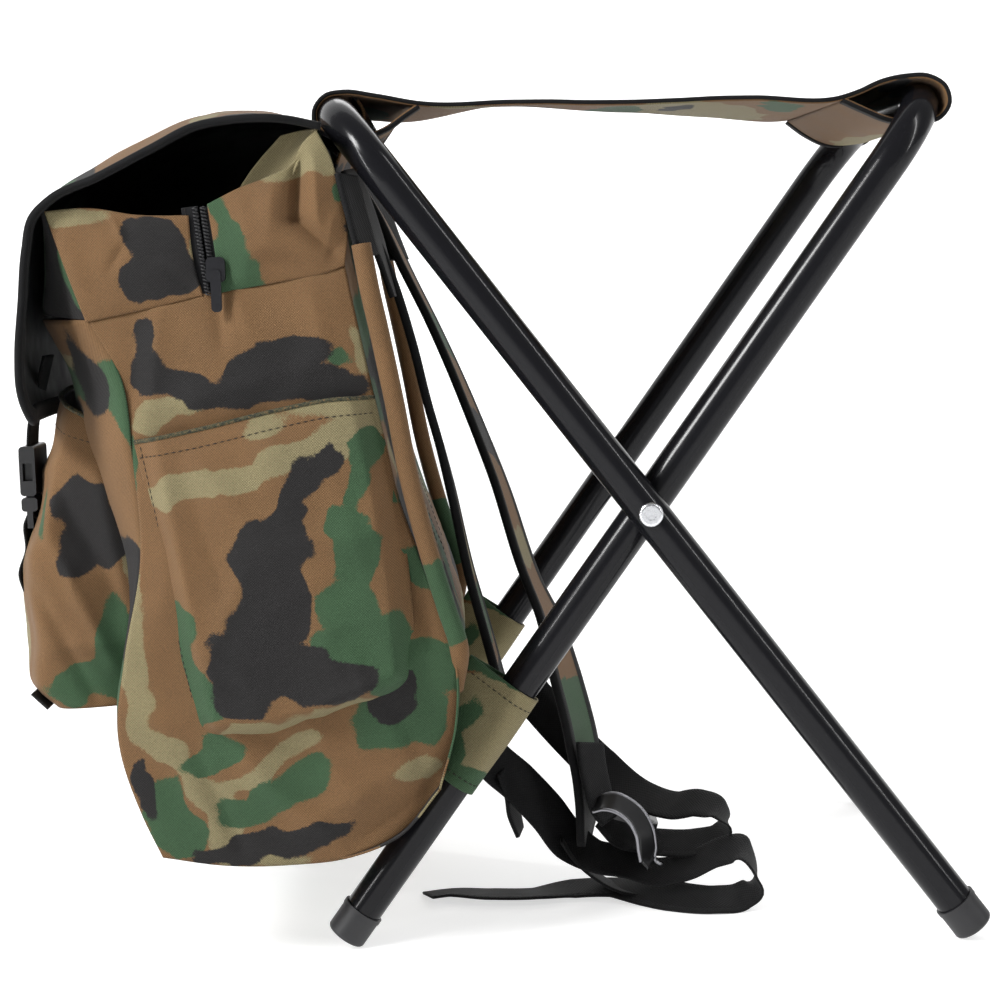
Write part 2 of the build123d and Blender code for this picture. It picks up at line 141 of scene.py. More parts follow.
def creased(grid, creases, out):
    """Lifts or presses a surface along lines of the side view: x0, z0, x1, z1, width, height."""
    x, z = grid[..., 0], grid[..., 2]
    lift = np.zeros(x.shape)
    for x0, z0, x1, z1, width, height in creases:
        dx, dz = x1 - x0, z1 - z0
        t = np.clip(((x - x0) * dx + (z - z0) * dz) / (dx * dx + dz * dz), 0, 1)
        d = np.hypot(x - x0 - t * dx, z - z0 - t * dz)
        fade = 0.35 + 0.65 * np.sin(np.pi * np.clip(0.12 + 0.76 * t, 0, 1))
        lift += height * fade * np.exp(-((d / width) ** 1.5))
    return grid + lift[..., None] * np.array(out, float)


def rumpled(grid, out, amount, seed, size=34.0):
    """Small soft wrinkles, none at the edges."""
    u, v = shares(grid)
    x = np.linalg.norm(grid - grid[:, :1], axis=2)
    z = np.linalg.norm(grid - grid[:1], axis=2)
    ridge = 1 - 2 * np.abs(noise(x / size + z / 90, z / size, seed))
    fine = noise(x / 13, z / 17, seed + 5)
    edge = smooth(8 * u) * smooth(8 - 8 * u) * smooth(8 * v) * smooth(8 - 8 * v)
    lift = amount * (ridge + 0.35 * fine) * edge
    return grid + lift[..., None] * np.array(out, float)


# ------------------------------------------------------------------ camouflage
def spot_field(x, z, spots, seed):
    """Distance-like field of listed patches (x, z, half width, half height, turn), above 0 inside."""
    x = x + 3.6 * noise(x / 12, z / 12, seed) + 1.3 * noise(x / 4.5, z / 4.5, seed + 2)
    z = z + 3.6 * noise(x / 12, z / 12, seed + 1) + 1.3 * noise(x / 4.5, z / 4.5, seed + 3)
    total = np.full(x.shape, 1e-9)
    for cx, cz, wide, high, turn in spots:
        c, s = math.cos(math.radians(turn)), math.sin(math.radians(turn))
        along, up = (x - cx) * c + (z - cz) * s, (z - cz) * c - (x - cx) * s
        inside = (1 - np.hypot(along / wide, up / high)) * min(wide, high)
        total += np.exp(np.clip(inside, -60, 60) * 0.45)
    return np.log(total) / 0.45


def camo_fields(x, z, seed, spots=None, limit=None):
    """Tan, green and black amounts on the cloth. Listed patches, where given, end at the limit."""
    placed = [spot_field(x, z, (spots or {}).get(name, []), seed + i) for i, name in enumerate(COLOURS)]
    if spots is not None and limit is None:
        return placed
    wx = x + 11 * noise(x / 26, z / 26, seed) + 3 * noise(x / 8, z / 8, seed + 1)
    wz = z + 9 * noise(x / 26, z / 26, seed + 2) + 3 * noise(x / 8, z / 8, seed + 3)
    tan = 16 * (noise(wx / 58, wz / 27, seed + 4) - 0.28)
    green = 16 * (noise(wx / 62, wz / 34, seed + 5) - 0.12)
    black = 16 * (noise(wx / 44, wz / 30, seed + 6) - 0.36)
    drawn = [tan, green, black]
    if spots is None:
        return drawn
    return [np.where(x > limit, a, b) for a, b in zip(placed, drawn)]


# ------------------------------------------------------------------ materials
def start_material(name):
    material = bpy.data.materials.new(name)
    material.use_nodes = True
    return material, material.node_tree, material.node_tree.nodes["Principled BSDF"]


def node(tree, kind, inputs=None, **settings):
    made = tree.nodes.new(kind)
    for key, value in settings.items():
        setattr(made, key, value)
    for key, value in (inputs or {}).items():
        if isinstance(value, bpy.types.NodeSocket):
            tree.links.new(value, made.inputs[key])
        else:
            made.inputs[key].default_value = value
    return made


def maths(tree, operation, a, b=0.0):
    return node(tree, "ShaderNodeMath", {0: a, 1: b}, operation=operation).outputs[0]


def mixed(tree, factor, a, b):
    made = node(tree, "ShaderNodeMix", {"Factor": factor}, data_type="RGBA")
    for key, value in ((6, a), (7, b)):
        if isinstance(value, bpy.types.NodeSocket):
            tree.links.new(value, made.inputs[key])
        else:
            made.inputs[key].default_value = (*value, 1)
    return made.outputs[2]


def stepped(tree, value, low, high):
    made = node(tree, "ShaderNodeMapRange", {"Value": value, "From Min": low, "From Max": high})
    return made.outputs["Result"]


def grain(tree, scale, detail=3.0):
    coordinates = node(tree, "ShaderNodeTexCoord").outputs["Object"]
    made = node(tree, "ShaderNodeTexNoise", {"Vector": coordinates, "Scale": scale, "Detail": detail})
    return made.outputs["Fac"]


def threads(tree, across, along):
    """Woven surface from the UV map, which is in metres: -1 to 1, with the given thread pitches."""
    uv = node(tree, "ShaderNodeUVMap").outputs["UV"]
    shake = node(tree, "ShaderNodeTexNoise", {"Vector": uv, "Scale": 260.0, "Detail": 2.0}).outputs["Color"]
    shake = node(tree, "ShaderNodeVectorMath", {0: shake, 1: (0.00045,) * 3}, operation="MULTIPLY").outputs[0]
    uv = node(tree, "ShaderNodeVectorMath", {0: uv, 1: shake}, operation="ADD").outputs[0]
    parts = node(tree, "ShaderNodeSeparateXYZ", {"Vector": uv})
    a = maths(tree, "SINE", maths(tree, "MULTIPLY", parts.outputs["X"], 2 * math.pi / across))
    b = maths(tree, "SINE", maths(tree, "MULTIPLY", parts.outputs["Y"], 2 * math.pi / along))
    return maths(tree, "MULTIPLY", a, b)


def bumped(tree, shader, height, strength, distance):
    made = node(tree, "ShaderNodeBump", {"Height": height, "Strength": strength, "Distance": distance})
    tree.links.new(made.outputs["Normal"], shader.inputs["Normal"])


def cloth_finish(tree, shader, colour, weave, sheen=0.05):
    worn = grain(tree, 42.0)
    mottled = node(tree, "ShaderNodeHueSaturation", {"Color": colour, "Saturation": 1.0})
    speck = maths(tree, "MULTIPLY", maths(tree, "SUBTRACT", grain(tree, 1400.0, 1.0), 0.5), 0.55)
    value = maths(tree, "ADD", maths(tree, "MULTIPLY", weave, 0.34), maths(tree, "MULTIPLY", worn, 0.30))
    value = maths(tree, "ADD", maths(tree, "ADD", value, speck), 0.76)
    tree.links.new(value, mottled.inputs["Value"])
    tree.links.new(mottled.outputs["Color"], shader.inputs["Base Color"])
    rough = stepped(tree, worn, 0.2, 0.9)
    rough = maths(tree, "ADD", maths(tree, "MULTIPLY", rough, 0.18), 0.62)
    tree.links.new(rough, shader.inputs["Roughness"])
    shader.inputs["Sheen Weight"].default_value = sheen
    shader.inputs["Sheen Roughness"].default_value = 0.5
    shader.inputs["Specular IOR Level"].default_value = 0.12
    height = maths(tree, "ADD", maths(tree, "MULTIPLY", weave, 0.5), maths(tree, "MULTIPLY", worn, 0.6))
    bumped(tree, shader, height, 0.45, 0.0004)


def camo_material():
    material, tree, shader = start_material("camo_cloth")
    edge = maths(tree, "MULTIPLY", maths(tree, "SUBTRACT", grain(tree, 900.0), 0.5), 2.2)
    colour = BROWN
    for name, paint in zip(COLOURS, (TAN, GREEN, BLACK)):
        amount = node(tree, "ShaderNodeAttribute", attribute_name=name).outputs["Fac"]
        there = stepped(tree, maths(tree, "ADD", amount, edge), -0.45, 0.45)
        colour = mixed(tree, there, colour, paint)
    cloth_finish(tree, shader, colour, threads(tree, 0.00125, 0.00125))
    return material


def plain_cloth(name, paint, across, along, sheen=0.03):
    material, tree, shader = start_material(name)
    shade = grain(tree, 130.0)
    colour = mixed(tree, shade, tuple(0.75 * c for c in paint), tuple(1.3 * c for c in paint))
    cloth_finish(tree, shader, colour, threads(tree, across, along), sheen)
    return material


def coating_and_shade_material():
    material, tree, shader = start_material("coating_and_shade")
    patchy = grain(tree, 60.0)
    # Inner side of the cloth: its black coating, made darker than the black print as painted shade of the bag's
    # inside.
    colour = mixed(tree, patchy, (0.003, 0.003, 0.0035), (0.008, 0.008, 0.009))
    tree.links.new(colour, shader.inputs["Base Color"])
    tree.links.new(stepped(tree, patchy, -0.8, 1.6), shader.inputs["Roughness"])
    bumped(tree, shader, threads(tree, 0.0012, 0.0012), 0.2, 0.0002)
    return material


def tube_material():
    material, tree, shader = start_material("tube_black")
    shader.inputs["Base Color"].default_value = (0.006, 0.006, 0.0075, 1)
    peel = grain(tree, 420.0, 2.0)
    worn = grain(tree, 30.0, 6.0)
    rough = maths(tree, "ADD", maths(tree, "MULTIPLY", worn, 0.16), 0.13)
    tree.links.new(rough, shader.inputs["Roughness"])
    shader.inputs["Specular IOR Level"].default_value = 0.14
    shader.inputs["Coat Weight"].default_value = 0.16
    shader.inputs["Coat Roughness"].default_value = 0.08
    bumped(tree, shader, maths(tree, "ADD", peel, maths(tree, "MULTIPLY", worn, 0.5)), 0.10, 0.0003)
    return material


def plastic_material(name, paint, rough, scale, strength):
    material, tree, shader = start_material(name)
    patchy = grain(tree, 55.0)
    tree.links.new(mixed(tree, patchy, tuple(0.7 * c for c in paint), paint), shader.inputs["Base Color"])
    rough = maths(tree, "ADD", maths(tree, "MULTIPLY", patchy, 0.2), rough)
    tree.links.new(rough, shader.inputs["Roughness"])
    bumped(tree, shader, grain(tree, scale), strength, 0.0002)
    return material


def metal_material(name, paint, rough):
    material, tree, shader = start_material(name)
    shader.inputs["Metallic"].default_value = 1.0
    scuffs = grain(tree, 900.0, 5.0)
    tree.links.new(mixed(tree, scuffs, tuple(0.8 * c for c in paint), paint), shader.inputs["Base Color"])
    rough = maths(tree, "ADD", maths(tree, "MULTIPLY", scuffs, 0.2), rough)
    tree.links.new(rough, shader.inputs["Roughness"])
    bumped(tree, shader, scuffs, 0.15, 0.0002)
    return material


BROWN = (0.152, 0.085, 0.039)
TAN = (0.200, 0.170, 0.092)
GREEN = (0.040, 0.080, 0.040)
BLACK = (0.019, 0.018, 0.018)
CAMO = camo_material()
WEBBING = plain_cloth("webbing_black", (0.0075, 0.0075, 0.008), 0.0022, 0.0016)
BINDING = plain_cloth("binding_black", (0.006, 0.006, 0.0065), 0.0011, 0.0013)
TAPE = plain_cloth("zip_tape", (0.010, 0.010, 0.011), 0.0008, 0.0008)
COATING_AND_SHADE = coating_and_shade_material()
TUBE = tube_material()
CAP = plastic_material("cap_black", (0.016, 0.016, 0.018), 0.42, 700.0, 0.25)
PLASTIC = plastic_material("buckle_black", (0.012, 0.012, 0.013), 0.22, 500.0, 0.12)
TEETH = plastic_material("zip_teeth", (0.020, 0.020, 0.022), 0.30, 500.0, 0.1)
ZINC = metal_material("rivet_zinc", (0.80, 0.81, 0.84), 0.18)
SLIDER = metal_material("zip_metal", (0.05, 0.05, 0.055), 0.25)
# Pale metal for the ladder lock's rims: a painted highlight standing in for the gloss on its black plastic.
RIM_HIGHLIGHT = metal_material("lock_rim", (0.30, 0.30, 0.32), 0.22)
THREAD = plain_cloth("thread_dark", (0.030, 0.026, 0.022), 0.0005, 0.0005)
PALE_THREAD = plain_cloth("thread_tan", (0.20, 0.17, 0.11), 0.0005, 0.0005)


def mesh_piece(name, points, faces, materials, body, uv=None, fields=None):
    """A smooth-shaded piece that rides on a body, from points in millimetres."""
    mesh = bpy.data.meshes.new(name)
    mesh.from_pydata(place(points).tolist(), [], faces)
    for material in materials:
        mesh.materials.append(material)
    if uv is not None:
        layer = mesh.uv_layers.new(name="UVMap")
        corners = np.empty(len(mesh.loops), int)
        mesh.loops.foreach_get("vertex_index", corners)
        layer.data.foreach_set("uv", (np.asarray(uv)[corners] / 1000).ravel())
    for key, values in (fields or {}).items():
        mesh.attributes.new(key, "FLOAT", "POINT").data.foreach_set("value", np.asarray(values, np.float32))
    mesh.shade_smooth()
    piece = bpy.data.objects.new(name, mesh)
    bpy.context.scene.collection.objects.link(piece)
    if body:
        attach(piece, body)
    return piece


def grid_faces(rows, columns, turned):
    faces = []
    for r in range(rows - 1):
        for c in range(columns - 1):
            a = r * columns + c
            quad = (a, a + 1, a + columns + 1, a + columns)
            faces.append(quad[::-1] if turned else quad)
    return faces


def cloth(name, grid, body, out, seed, spots=None, flat="length", thick=1.1, inside=None, plan=None,
          limit=None):
    """A sheet of cloth from a grid of points: camouflage outside, and, if one is given, a dark inside of black
    coating and painted shade.

    Its pattern is laid out by the side view, by a plan of its own, or by the lengths along the cloth.
    """
    rows, columns = grid.shape[:2]
    facing = np.cross(np.gradient(grid, axis=1), np.gradient(grid, axis=0)).reshape(-1, 3)
    turned = (facing @ np.array(out, float)).sum() < 0
    if plan is not None:
        uv = plan.reshape(-1, 2)
    elif flat == "side":
        uv = grid[..., [0, 2]].reshape(-1, 2)
    else:
        u = np.zeros((rows, columns))
        v = np.zeros((rows, columns))
        u[:, 1:] = np.cumsum(np.linalg.norm(np.diff(grid, axis=1), axis=2), axis=1)
        v[1:] = np.cumsum(np.linalg.norm(np.diff(grid, axis=0), axis=2), axis=0)
        uv = np.stack([u - u.mean(axis=1, keepdims=True), v], axis=2).reshape(-1, 2)
    fields = dict(zip(COLOURS, camo_fields(uv[:, 0], uv[:, 1], seed, spots, limit)))
    materials = [CAMO] + ([inside] if inside else [])
    faces = grid_faces(rows, columns, turned)
    piece = mesh_piece(name, grid.reshape(-1, 3), faces, materials, body, uv, fields)
    solid = piece.modifiers.new("thickness", "SOLIDIFY")
    solid.thickness = thick / 1000
    solid.offset = -1
    if inside:
        solid.material_offset = 1
    return piece


def swept(name, path, across, section, materials, body, kinds=None, camo_seed=None, spots=None,
          dark_from=math.inf):
    """A band: a section of (side, up) points swept along a path, its side along the across directions.

    kinds picks the material of each strip of the section, up to the length where the second one takes over.
    """
    path, across, section = np.array(path), np.array(across, float), np.array(section, float)
    forward = np.gradient(path, axis=0)
    forward /= np.linalg.norm(forward, axis=1, keepdims=True)
    across = across - (across * forward).sum(axis=1, keepdims=True) * forward
    across /= np.linalg.norm(across, axis=1, keepdims=True)
    up = np.cross(forward, across)
    n, k = len(path), len(section)
    points = path[:, None] + section[None, :, :1] * across[:, None] + section[None, :, 1:] * up[:, None]
    length = np.r_[0, np.cumsum(np.linalg.norm(np.diff(path, axis=0), axis=1))]
    around = np.r_[0, np.cumsum(np.linalg.norm(np.diff(section, axis=0), axis=1))]
    uv = np.stack(np.broadcast_arrays(around[None], length[:, None]), axis=2).reshape(-1, 2)
    faces = []
    for r in range(n - 1):
        for c in range(k):
            d = (c + 1) % k
            faces.append((r * k + c, r * k + d, (r + 1) * k + d, (r + 1) * k + c))
    faces.append(tuple(range(k))[::-1])
    faces.append(tuple(range((n - 1) * k, n * k)))
    fields = None
    if camo_seed is not None:
        fields = dict(zip(COLOURS, camo_fields(uv[:, 0], uv[:, 1], camo_seed, spots)))
    piece = mesh_piece(name, points.reshape(-1, 3), faces, materials, body, uv, fields)
    if kinds is not None:
        for r in range(n - 1):
            for c in range(k):
                piece.data.polygons[r * k + c].material_index = 1 if length[r] > dark_from else kinds[c]
    return piece


def band_section(width, thick, steps=9):
    """Flat band with rounded edges, drawn round from one face to the other."""
    half, r = width / 2 - thick / 2, thick / 2
    right = [(half + r * math.sin(a), -r * math.cos(a)) for a in np.linspace(0, math.pi, 6)]
    left = [(-x, -y) for x, y in right]
    low = [(x, -r) for x in np.linspace(-half, half, steps)[1:-1]]
    high = [(x, r) for x in np.linspace(half, -half, steps)[1:-1]]
    return low + right + high + left


def band(name, path, across, width, thick, material, body, count):
    """Flat webbing or tape along a smooth path."""
    line, side = spline(path, count), along(path, across, count)
    return swept(name, line, side, band_section(width, thick), [material], body)


def round_section(radius, steps=10, flat=1.0):
    angles = np.linspace(0, 2 * math.pi, steps, endpoint=False)
    return [(radius * math.cos(a), flat * radius * math.sin(a)) for a in angles]


def rolled_hem(name, path, radius, count):
    """A rolled edge of camouflage cloth along a smooth path."""
    path = spline(path, count)
    forward = np.gradient(path, axis=0)
    crosswise = abs(forward[:, 1]).mean() >= 0.6 * np.abs(forward).sum(axis=1).mean()
    side = (1.0, 0.0, 0.0) if crosswise else (0.0, 1.0, 0.0)
    swept(name, path, np.tile(side, (count, 1)), round_section(radius), [CAMO], "pack")


def stitches(name, path, body, material=THREAD, pitch=3.4, dash=2.3, radius=0.32):
    """A row of sewn stitches along a path."""
    path = np.array(path, float)
    length = np.r_[0, np.cumsum(np.linalg.norm(np.diff(path, axis=0), axis=1))]
    starts = np.arange(1.0, length[-1] - dash, pitch)
    points, faces = [], []
    for s in starts:
        stops = (s, s + dash / 2, s + dash)
        ends = np.array([[np.interp(q, length, path[:, i]) for i in range(3)] for q in stops])
        forward = ends[2] - ends[0]
        forward /= np.linalg.norm(forward)
        side = np.cross(forward, (0.3, 0.9, 0.2))
        side /= np.linalg.norm(side)
        up = np.cross(forward, side)
        for i, size in enumerate((0.35, 1.0, 0.35)):
            for a in np.linspace(0, 2 * math.pi, 5, endpoint=False):
                points.append(ends[i] + radius * size * (math.cos(a) * side + math.sin(a) * up))
        base = len(points) - 15
        for i in (0, 5):
            for c in range(5):
                d = (c + 1) % 5
                faces.append((base + i + c, base + i + d, base + i + 5 + d, base + i + 5 + c))
        faces.append(tuple(base + c for c in range(5))[::-1])
        faces.append(tuple(base + 10 + c for c in range(5)))
    mesh_piece(name, points, faces, [material], body, np.zeros((len(points), 2)))


def mirrored(points):
    """The same points on the far side."""
    flipped = np.array(points, float)
    flipped[..., 1] *= -1
    return flipped


# ------------------------------------------------------------------ stool frame
def paint_nodes():
    """Materials for the CAD parts that keep their own shape."""
    finishes = {
        "inner_frame_tube": TUBE, "outer_frame_tube": TUBE, "inner_foot_caps": CAP, "outer_foot_caps": CAP,
        "pivot_rivets": ZINC, "pivot_washers": CAP, "ladder_lock": PLASTIC,
        "buckle_socket_near": PLASTIC, "buckle_socket_far": PLASTIC,
        "buckle_plug_near": PLASTIC, "buckle_plug_far": PLASTIC,
        "zip_slider_near": SLIDER, "zip_slider_far": SLIDER,
    }
    for name, material in finishes.items():
        mesh = frame["nodes"][name].data
        mesh.materials.clear()
        mesh.materials.append(material)
        mesh.shade_smooth()


# ------------------------------------------------------------------ seat
SEAT_NEAR = [
    (-106, 201.4), (-113, 197), (-122, 191), (-133, 187), (-146, 186.9), (-156.4, 192.5), (-157.6, 201),
    (-152, 208), (-143, 209.6), (-128, 207.4), (-106, 203.0), (-60, 202.4), (0, 201.2), (60, 201.0),
    (104, 199.8), (113, 202.6), (123, 206.8), (136, 209.2), (147, 208.8), (155.2, 203.5), (157.0, 195),
    (152, 188.2), (143, 186.6), (128, 187.6), (114, 193.4), (104, 198.2),
]
SEAT_FAR = [
    (-124, 203.6), (-128, 198), (-134, 191), (-141, 187.2), (-149, 187.2), (-156.4, 193.0), (-157.4, 200),
    (-152, 207.4), (-144, 209.2), (-134, 208.6), (-122, 207.4), (-62, 215.4), (0, 212.6), (60, 207.4),
    (106, 204.0), (116, 205.6), (126, 207.6), (137, 209.0), (147, 208.6), (155.0, 203.5), (156.6, 195),
    (151, 188.2), (143, 186.8), (128, 188.0), (116, 194.0), (106, 201.6),
]
SEAT_SPOTS = {
    "tan": [(20, 262, 130, 34, 8), (70, 388, 90, 26, 0), (-60, 140, 40, 14, 0), (60, 190, 50, 10, 10),
            (-40, 40, 60, 14, 0)],
    "green": [(-10, 212, 74, 14, -8), (60, 345, 60, 14, 12), (70, 150, 40, 12, 0), (-60, 300, 40, 10, 0),
              (30, 74, 50, 12, 0)],
    "black": [(10, 170, 56, 9, 10), (-46, 246, 34, 7, -10), (70, 236, 26, 8, 20), (-60, 360, 40, 10, 0),
              (20, 20, 40, 8, 0)],
}


def seat_cloth():
    """One long piece of cloth: a loop round each bar, sewn to itself, and taut between them."""
    count, wide = 220, 46
    near, far = spline(at_y(SEAT_NEAR, 0), count), spline(at_y(SEAT_FAR, 0), count)
    s = np.linspace(0, 1, wide)[None, :, None]
    grid = near[:, None] * (1 - s) + far[:, None] * s
    x = grid[..., 0]
    low = -100 + 3.5 * np.exp(-((x / 75) ** 2))
    high = 98 - 34 * smooth((20 - x) / 120)
    y = low + (high - low) * s[..., 0]
    grid[..., 1] = y
    middle = np.exp(-((x / 70) ** 2))
    grid[..., 2] -= 1.6 * middle * np.sin(np.pi * s[..., 0]) - 0.5 * noise(x / 22, y / 30, 3) * middle
    seat = cloth("seat_cloth", grid, None, (0, 0, 1), seed=11, spots=SEAT_SPOTS, thick=1.5)
    edges = []
    for side, column in ((NEAR, 0), (FAR, -1)):
        path = grid[:, column] + np.array([0, -side * 3.6, 0])
        across = np.tile([0.0, 1.0, 0.0], (count, 1))
        name = "seat_edge_" + SIDE_NAMES[side]
        edges.append(swept(name, path, across, band_section(8.6, 2.3), [BINDING], None))
    for piece in [seat] + edges:
        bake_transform(piece)
    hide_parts("seat_panel", "seat_casing_inner_bar", "seat_casing_outer_bar")
    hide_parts("seat_binding_near")
    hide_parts("seat_binding_far")
    for seam_x, lowest, body in ((-106, 202.9, "outer_frame"), (104, 200.2, "inner_frame")):
        row = int(np.argmin(np.abs(near[:, 0] - seam_x) + (near[:, 2] < lowest) * 99))
        for step in (0, 3):
            line = grid[row + step] + np.array([0, 0, 0.6])
            stitches("seat_seam_%s_%d" % (body, step), line, body, PALE_THREAD)


# ------------------------------------------------------------------ leg sleeves
def leg_sleeve(side):
    """Cloth sleeve round an inner leg, drawn wider towards the bag at its top."""
    rows, columns = 34, 56
    y = 114.5 * side
    grid = np.zeros((rows, columns, 3))
    across = np.array([math.cos(HALF_ANGLE), 0, -math.sin(HALF_ANGLE)])
    for r, v in enumerate(np.linspace(0, 1, rows)):
        centre = -LEG * (168 - 58 * v)
        tail = 4 + 14 * smooth(v) ** 0.8
        for c, a in enumerate(np.linspace(0, 2 * math.pi, columns)):
            reach = 11.6 + (tail if math.cos(a) < 0 else 0) * abs(math.cos(a)) ** 3
            deep = 11.4 - (3.2 * abs(math.cos(a)) ** 6 if math.cos(a) < 0 else 0)
            ripple = 0.35 * math.sin(5 * a + 3 * v) * math.sin(math.pi * v)
            grid[r, c] = centre + across * (reach + ripple) * math.cos(a) + np.array([0, y, 0])
            grid[r, c, 1] = y + (deep + ripple) * math.sin(a)
    name = SIDE_NAMES[side]
    spots = {
        "green": [(-104, -140, 20, 13, 40), (-72, -81, 40, 6.0, -30), (-104, -112, 9, 26, -38),
                  (-96, -152, 12, 12, 0)],
        "tan": [(-80, -110, 26, 34, 50), (-70, -100, 24, 24, 0), (-128, -60, 30, 12, 0)],
    }
    piece = cloth("sleeve_" + name, grid, "leg_sleeves", (0, side, 0), 31, spots, "side", thick=0.9)
    mesh = piece.data
    normals = np.array([p.normal for p in mesh.polygons])
    centres = np.array([p.center for p in mesh.polygons])
    middle = place((-139 * math.sin(HALF_ANGLE), y, -139 * math.cos(HALF_ANGLE)))
    away = centres - middle
    away -= (away @ LEG)[:, None] * LEG
    if (normals * away).sum() < 0:
        mesh.flip_normals()
    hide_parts("leg_sleeve_" + name)
    for v, label in ((0.10, "low"), (0.90, "high")):
        row = int(v * (rows - 1))
        stitches("sleeve_hem_%s_%s" % (label, name), grid[row] + np.array([0, 0.3 * side, 0]), "leg_sleeves")


# ------------------------------------------------------------------ rucksack body
FRONT_EDGE = [
    (-266, 102), (-252, 72), (-249, 42), (-247, -14), (-257, -62), (-262, -100), (-252, -140), (-243, -161),
]
REAR_EDGE = [(-143, 124), (-131, 60), (-121, 11), (-106, -34), (-96, -70), (-97, -100), (-106, -132)]
SEAM = [(-266, 102), (-240, 107), (-206, 113.5), (-176, 117.5), (-143, 124)]
BOTTOM_EDGE = [(-243, -161), (-214, -166), (-181, -167), (-150, -164), (-127, -155), (-106, -132)]
SIDE_CREASES = [
    (-244, 96, -250, 44, 7, -2.5), (-232, 104, -238, 60, 5, 1.8), (-205, 112, -203, 88, 3.5, -2.2),
    (-196, 112, -188, 92, 6, 1.8), (-160, 112, -150, 70, 8, 2.2), (-228, 60, -160, 78, 6, 1.4),
    (-236, -112, -214, -150, 6, 2.4), (-224, -110, -204, -158, 4, -2.6), (-200, -114, -160, -152, 7, 2.2),
    (-186, -104, -134, -128, 5, -2.4), (-172, -146, -118, -118, 7, 2.6), (-150, -158, -114, -134, 4, -1.8),
    (-126, -92, -112, -126, 6, -3.2), (-120, -20, -110, -60, 6, -2.4), (-134, 40, -122, -10, 5, 2.0),
]
SIDE_SPOTS = {
    "tan": [(-237, 54, 10, 8, 30), (-222, 60, 12, 5, 10), (-138, 84, 5, 14, 0), (-252, -66, 7, 22, 5),
            (-245, -104, 7, 5, 0), (-236, -106, 12, 6, -50), (-219, -131, 18, 6, -48), (-211, -147, 7, 18, 0),
            (-200, -122, 20, 5, 28), (-176, -108, 16, 5, 25), (-119, -123, 12, 5, 15), (-252, -92, 5, 12, 0),
            (-254, -20, 5, 22, 0), (-186, -164, 14, 4, 0)],
    "green": [(-146, 78, 6, 4, 0), (-215, -110, 17, 9, 20), (-240, -134, 11, 14, 0), (-234, -152, 13, 10, 0),
              (-197, -137, 19, 9, 15), (-171, -122, 15, 8, 30), (-116, -20, 9, 34, 70), (-104, -70, 12, 46, 88),
              (-124, -96, 24, 16, 10), (-140, 20, 8, 30, 80), (-252, 30, 6, 14, 0)],
    "black": [(-238, 78, 8, 10, 0), (-240, 96, 6, 8, 0), (-222, 68, 14, 7, -10), (-206, 64, 14, 7, 0),
              (-190, 76, 13, 11, 20), (-166, 84, 14, 8, 15), (-172, 68, 22, 8, 5), (-146, 67, 14, 6, 0),
              (-250, -128, 6, 16, 10), (-206, -160, 24, 6, 5), (-168, -150, 20, 6, 10), (-186, -156, 14, 5, 0),
              (-128, -84, 14, 12, 0)],
}
CUFF_SPOTS = {
    "tan": [(-270, 152, 16, 5, 0), (-168, 176, 16, 12, 30), (-152, 178, 12, 12, 0), (-186, 176, 14, 10, 20),
            (-214, 142, 3, 16, 0)],
    "green": [(-200, 150, 5, 9, 0), (-196, 132, 9, 12, 0), (-192, 118, 10, 9, 0), (-142, 158, 6, 6, 0)],
    "black": [(-236, 140, 12, 8, 0), (-228, 132, 13, 12, 0), (-234, 120, 14, 12, 0), (-222, 122, 10, 8, 0),
              (-136, 140, 5, 8, 0)],
}


def side_panel(side):
    """Side of the bag below the seam, with the sags and folds of stiff coated cloth."""
    out = (0, side, 0)
    y = 145 * side
    left, right = at_y(FRONT_EDGE[::-1], y), at_y(REAR_EDGE[::-1], y)
    bottom, top = at_y(BOTTOM_EDGE, y), at_y(SEAM, y)
    grid = patch(left, right, bottom, top, 120, 84)
    grid = bulged(grid, out, 5.0)
    grid = creased(grid, SIDE_CREASES, out)
    grid = rumpled(grid, out, 1.7, 5 if side == NEAR else 8)
    u, v = shares(grid)
    hollow = 7.0 * smooth((0.30 - v) / 0.30) * smooth((u - 0.55) / 0.4)
    grid[..., 1] -= side * hollow
    name = SIDE_NAMES[side]
    spots = SIDE_SPOTS if side == NEAR else None
    piece = cloth("side_" + name, grid, "pack", out, 61 if side == NEAR else 74, spots, "side", inside=COATING_AND_SHADE)
    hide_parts("side_panel_" + name)


def across_panel(name, edge, out, bulge, seed, node_name, power=2.4):
    """A panel from the near side to the far side, along one edge curve of the side view."""
    rows, columns = 90, 70
    line = spline(at_y(edge, 0), rows)
    s = np.linspace(-1, 1, columns)
    grid = np.repeat(line[:, None], columns, axis=1)
    grid[..., 1] = 145 * s[None]
    lift = (1 - np.abs(s) ** power)[None] * bulge(np.linspace(0, 1, rows))[:, None]
    grid = grid + lift[..., None] * np.array(out, float)
    grid = rumpled(grid, out, 1.2, seed)
    piece = cloth(name, grid, "pack", out, seed, inside=COATING_AND_SHADE)
    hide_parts(node_name)


def wide_panels():
    """Front, cuff front, back and bottom of the bag."""
    cuff = [(-266, 102), (-276, 130), (-284, 154)]
    back = REAR_EDGE[::-1] + [(-147, 150), (-153, 182)]
    swell = lambda v: 6 + 30 * smooth((v - 0.40) / 0.4)
    across_panel("front_cloth", FRONT_EDGE[::-1], (-1, 0, 0), swell, 151, "front_panel", power=5)
    across_panel("cuff_front_cloth", cuff, (-1, 0, 0.1), lambda v: 35 - 24 * v, 153, "cuff_front", power=5)
    across_panel("back_cloth", back, (1, 0, 0), lambda v: 2 + 0 * v, 155, "back_panel")
    across_panel("bottom_cloth", BOTTOM_EDGE, (0, 0, -1), lambda v: 2 + 0 * v, 157, "bottom_panel")


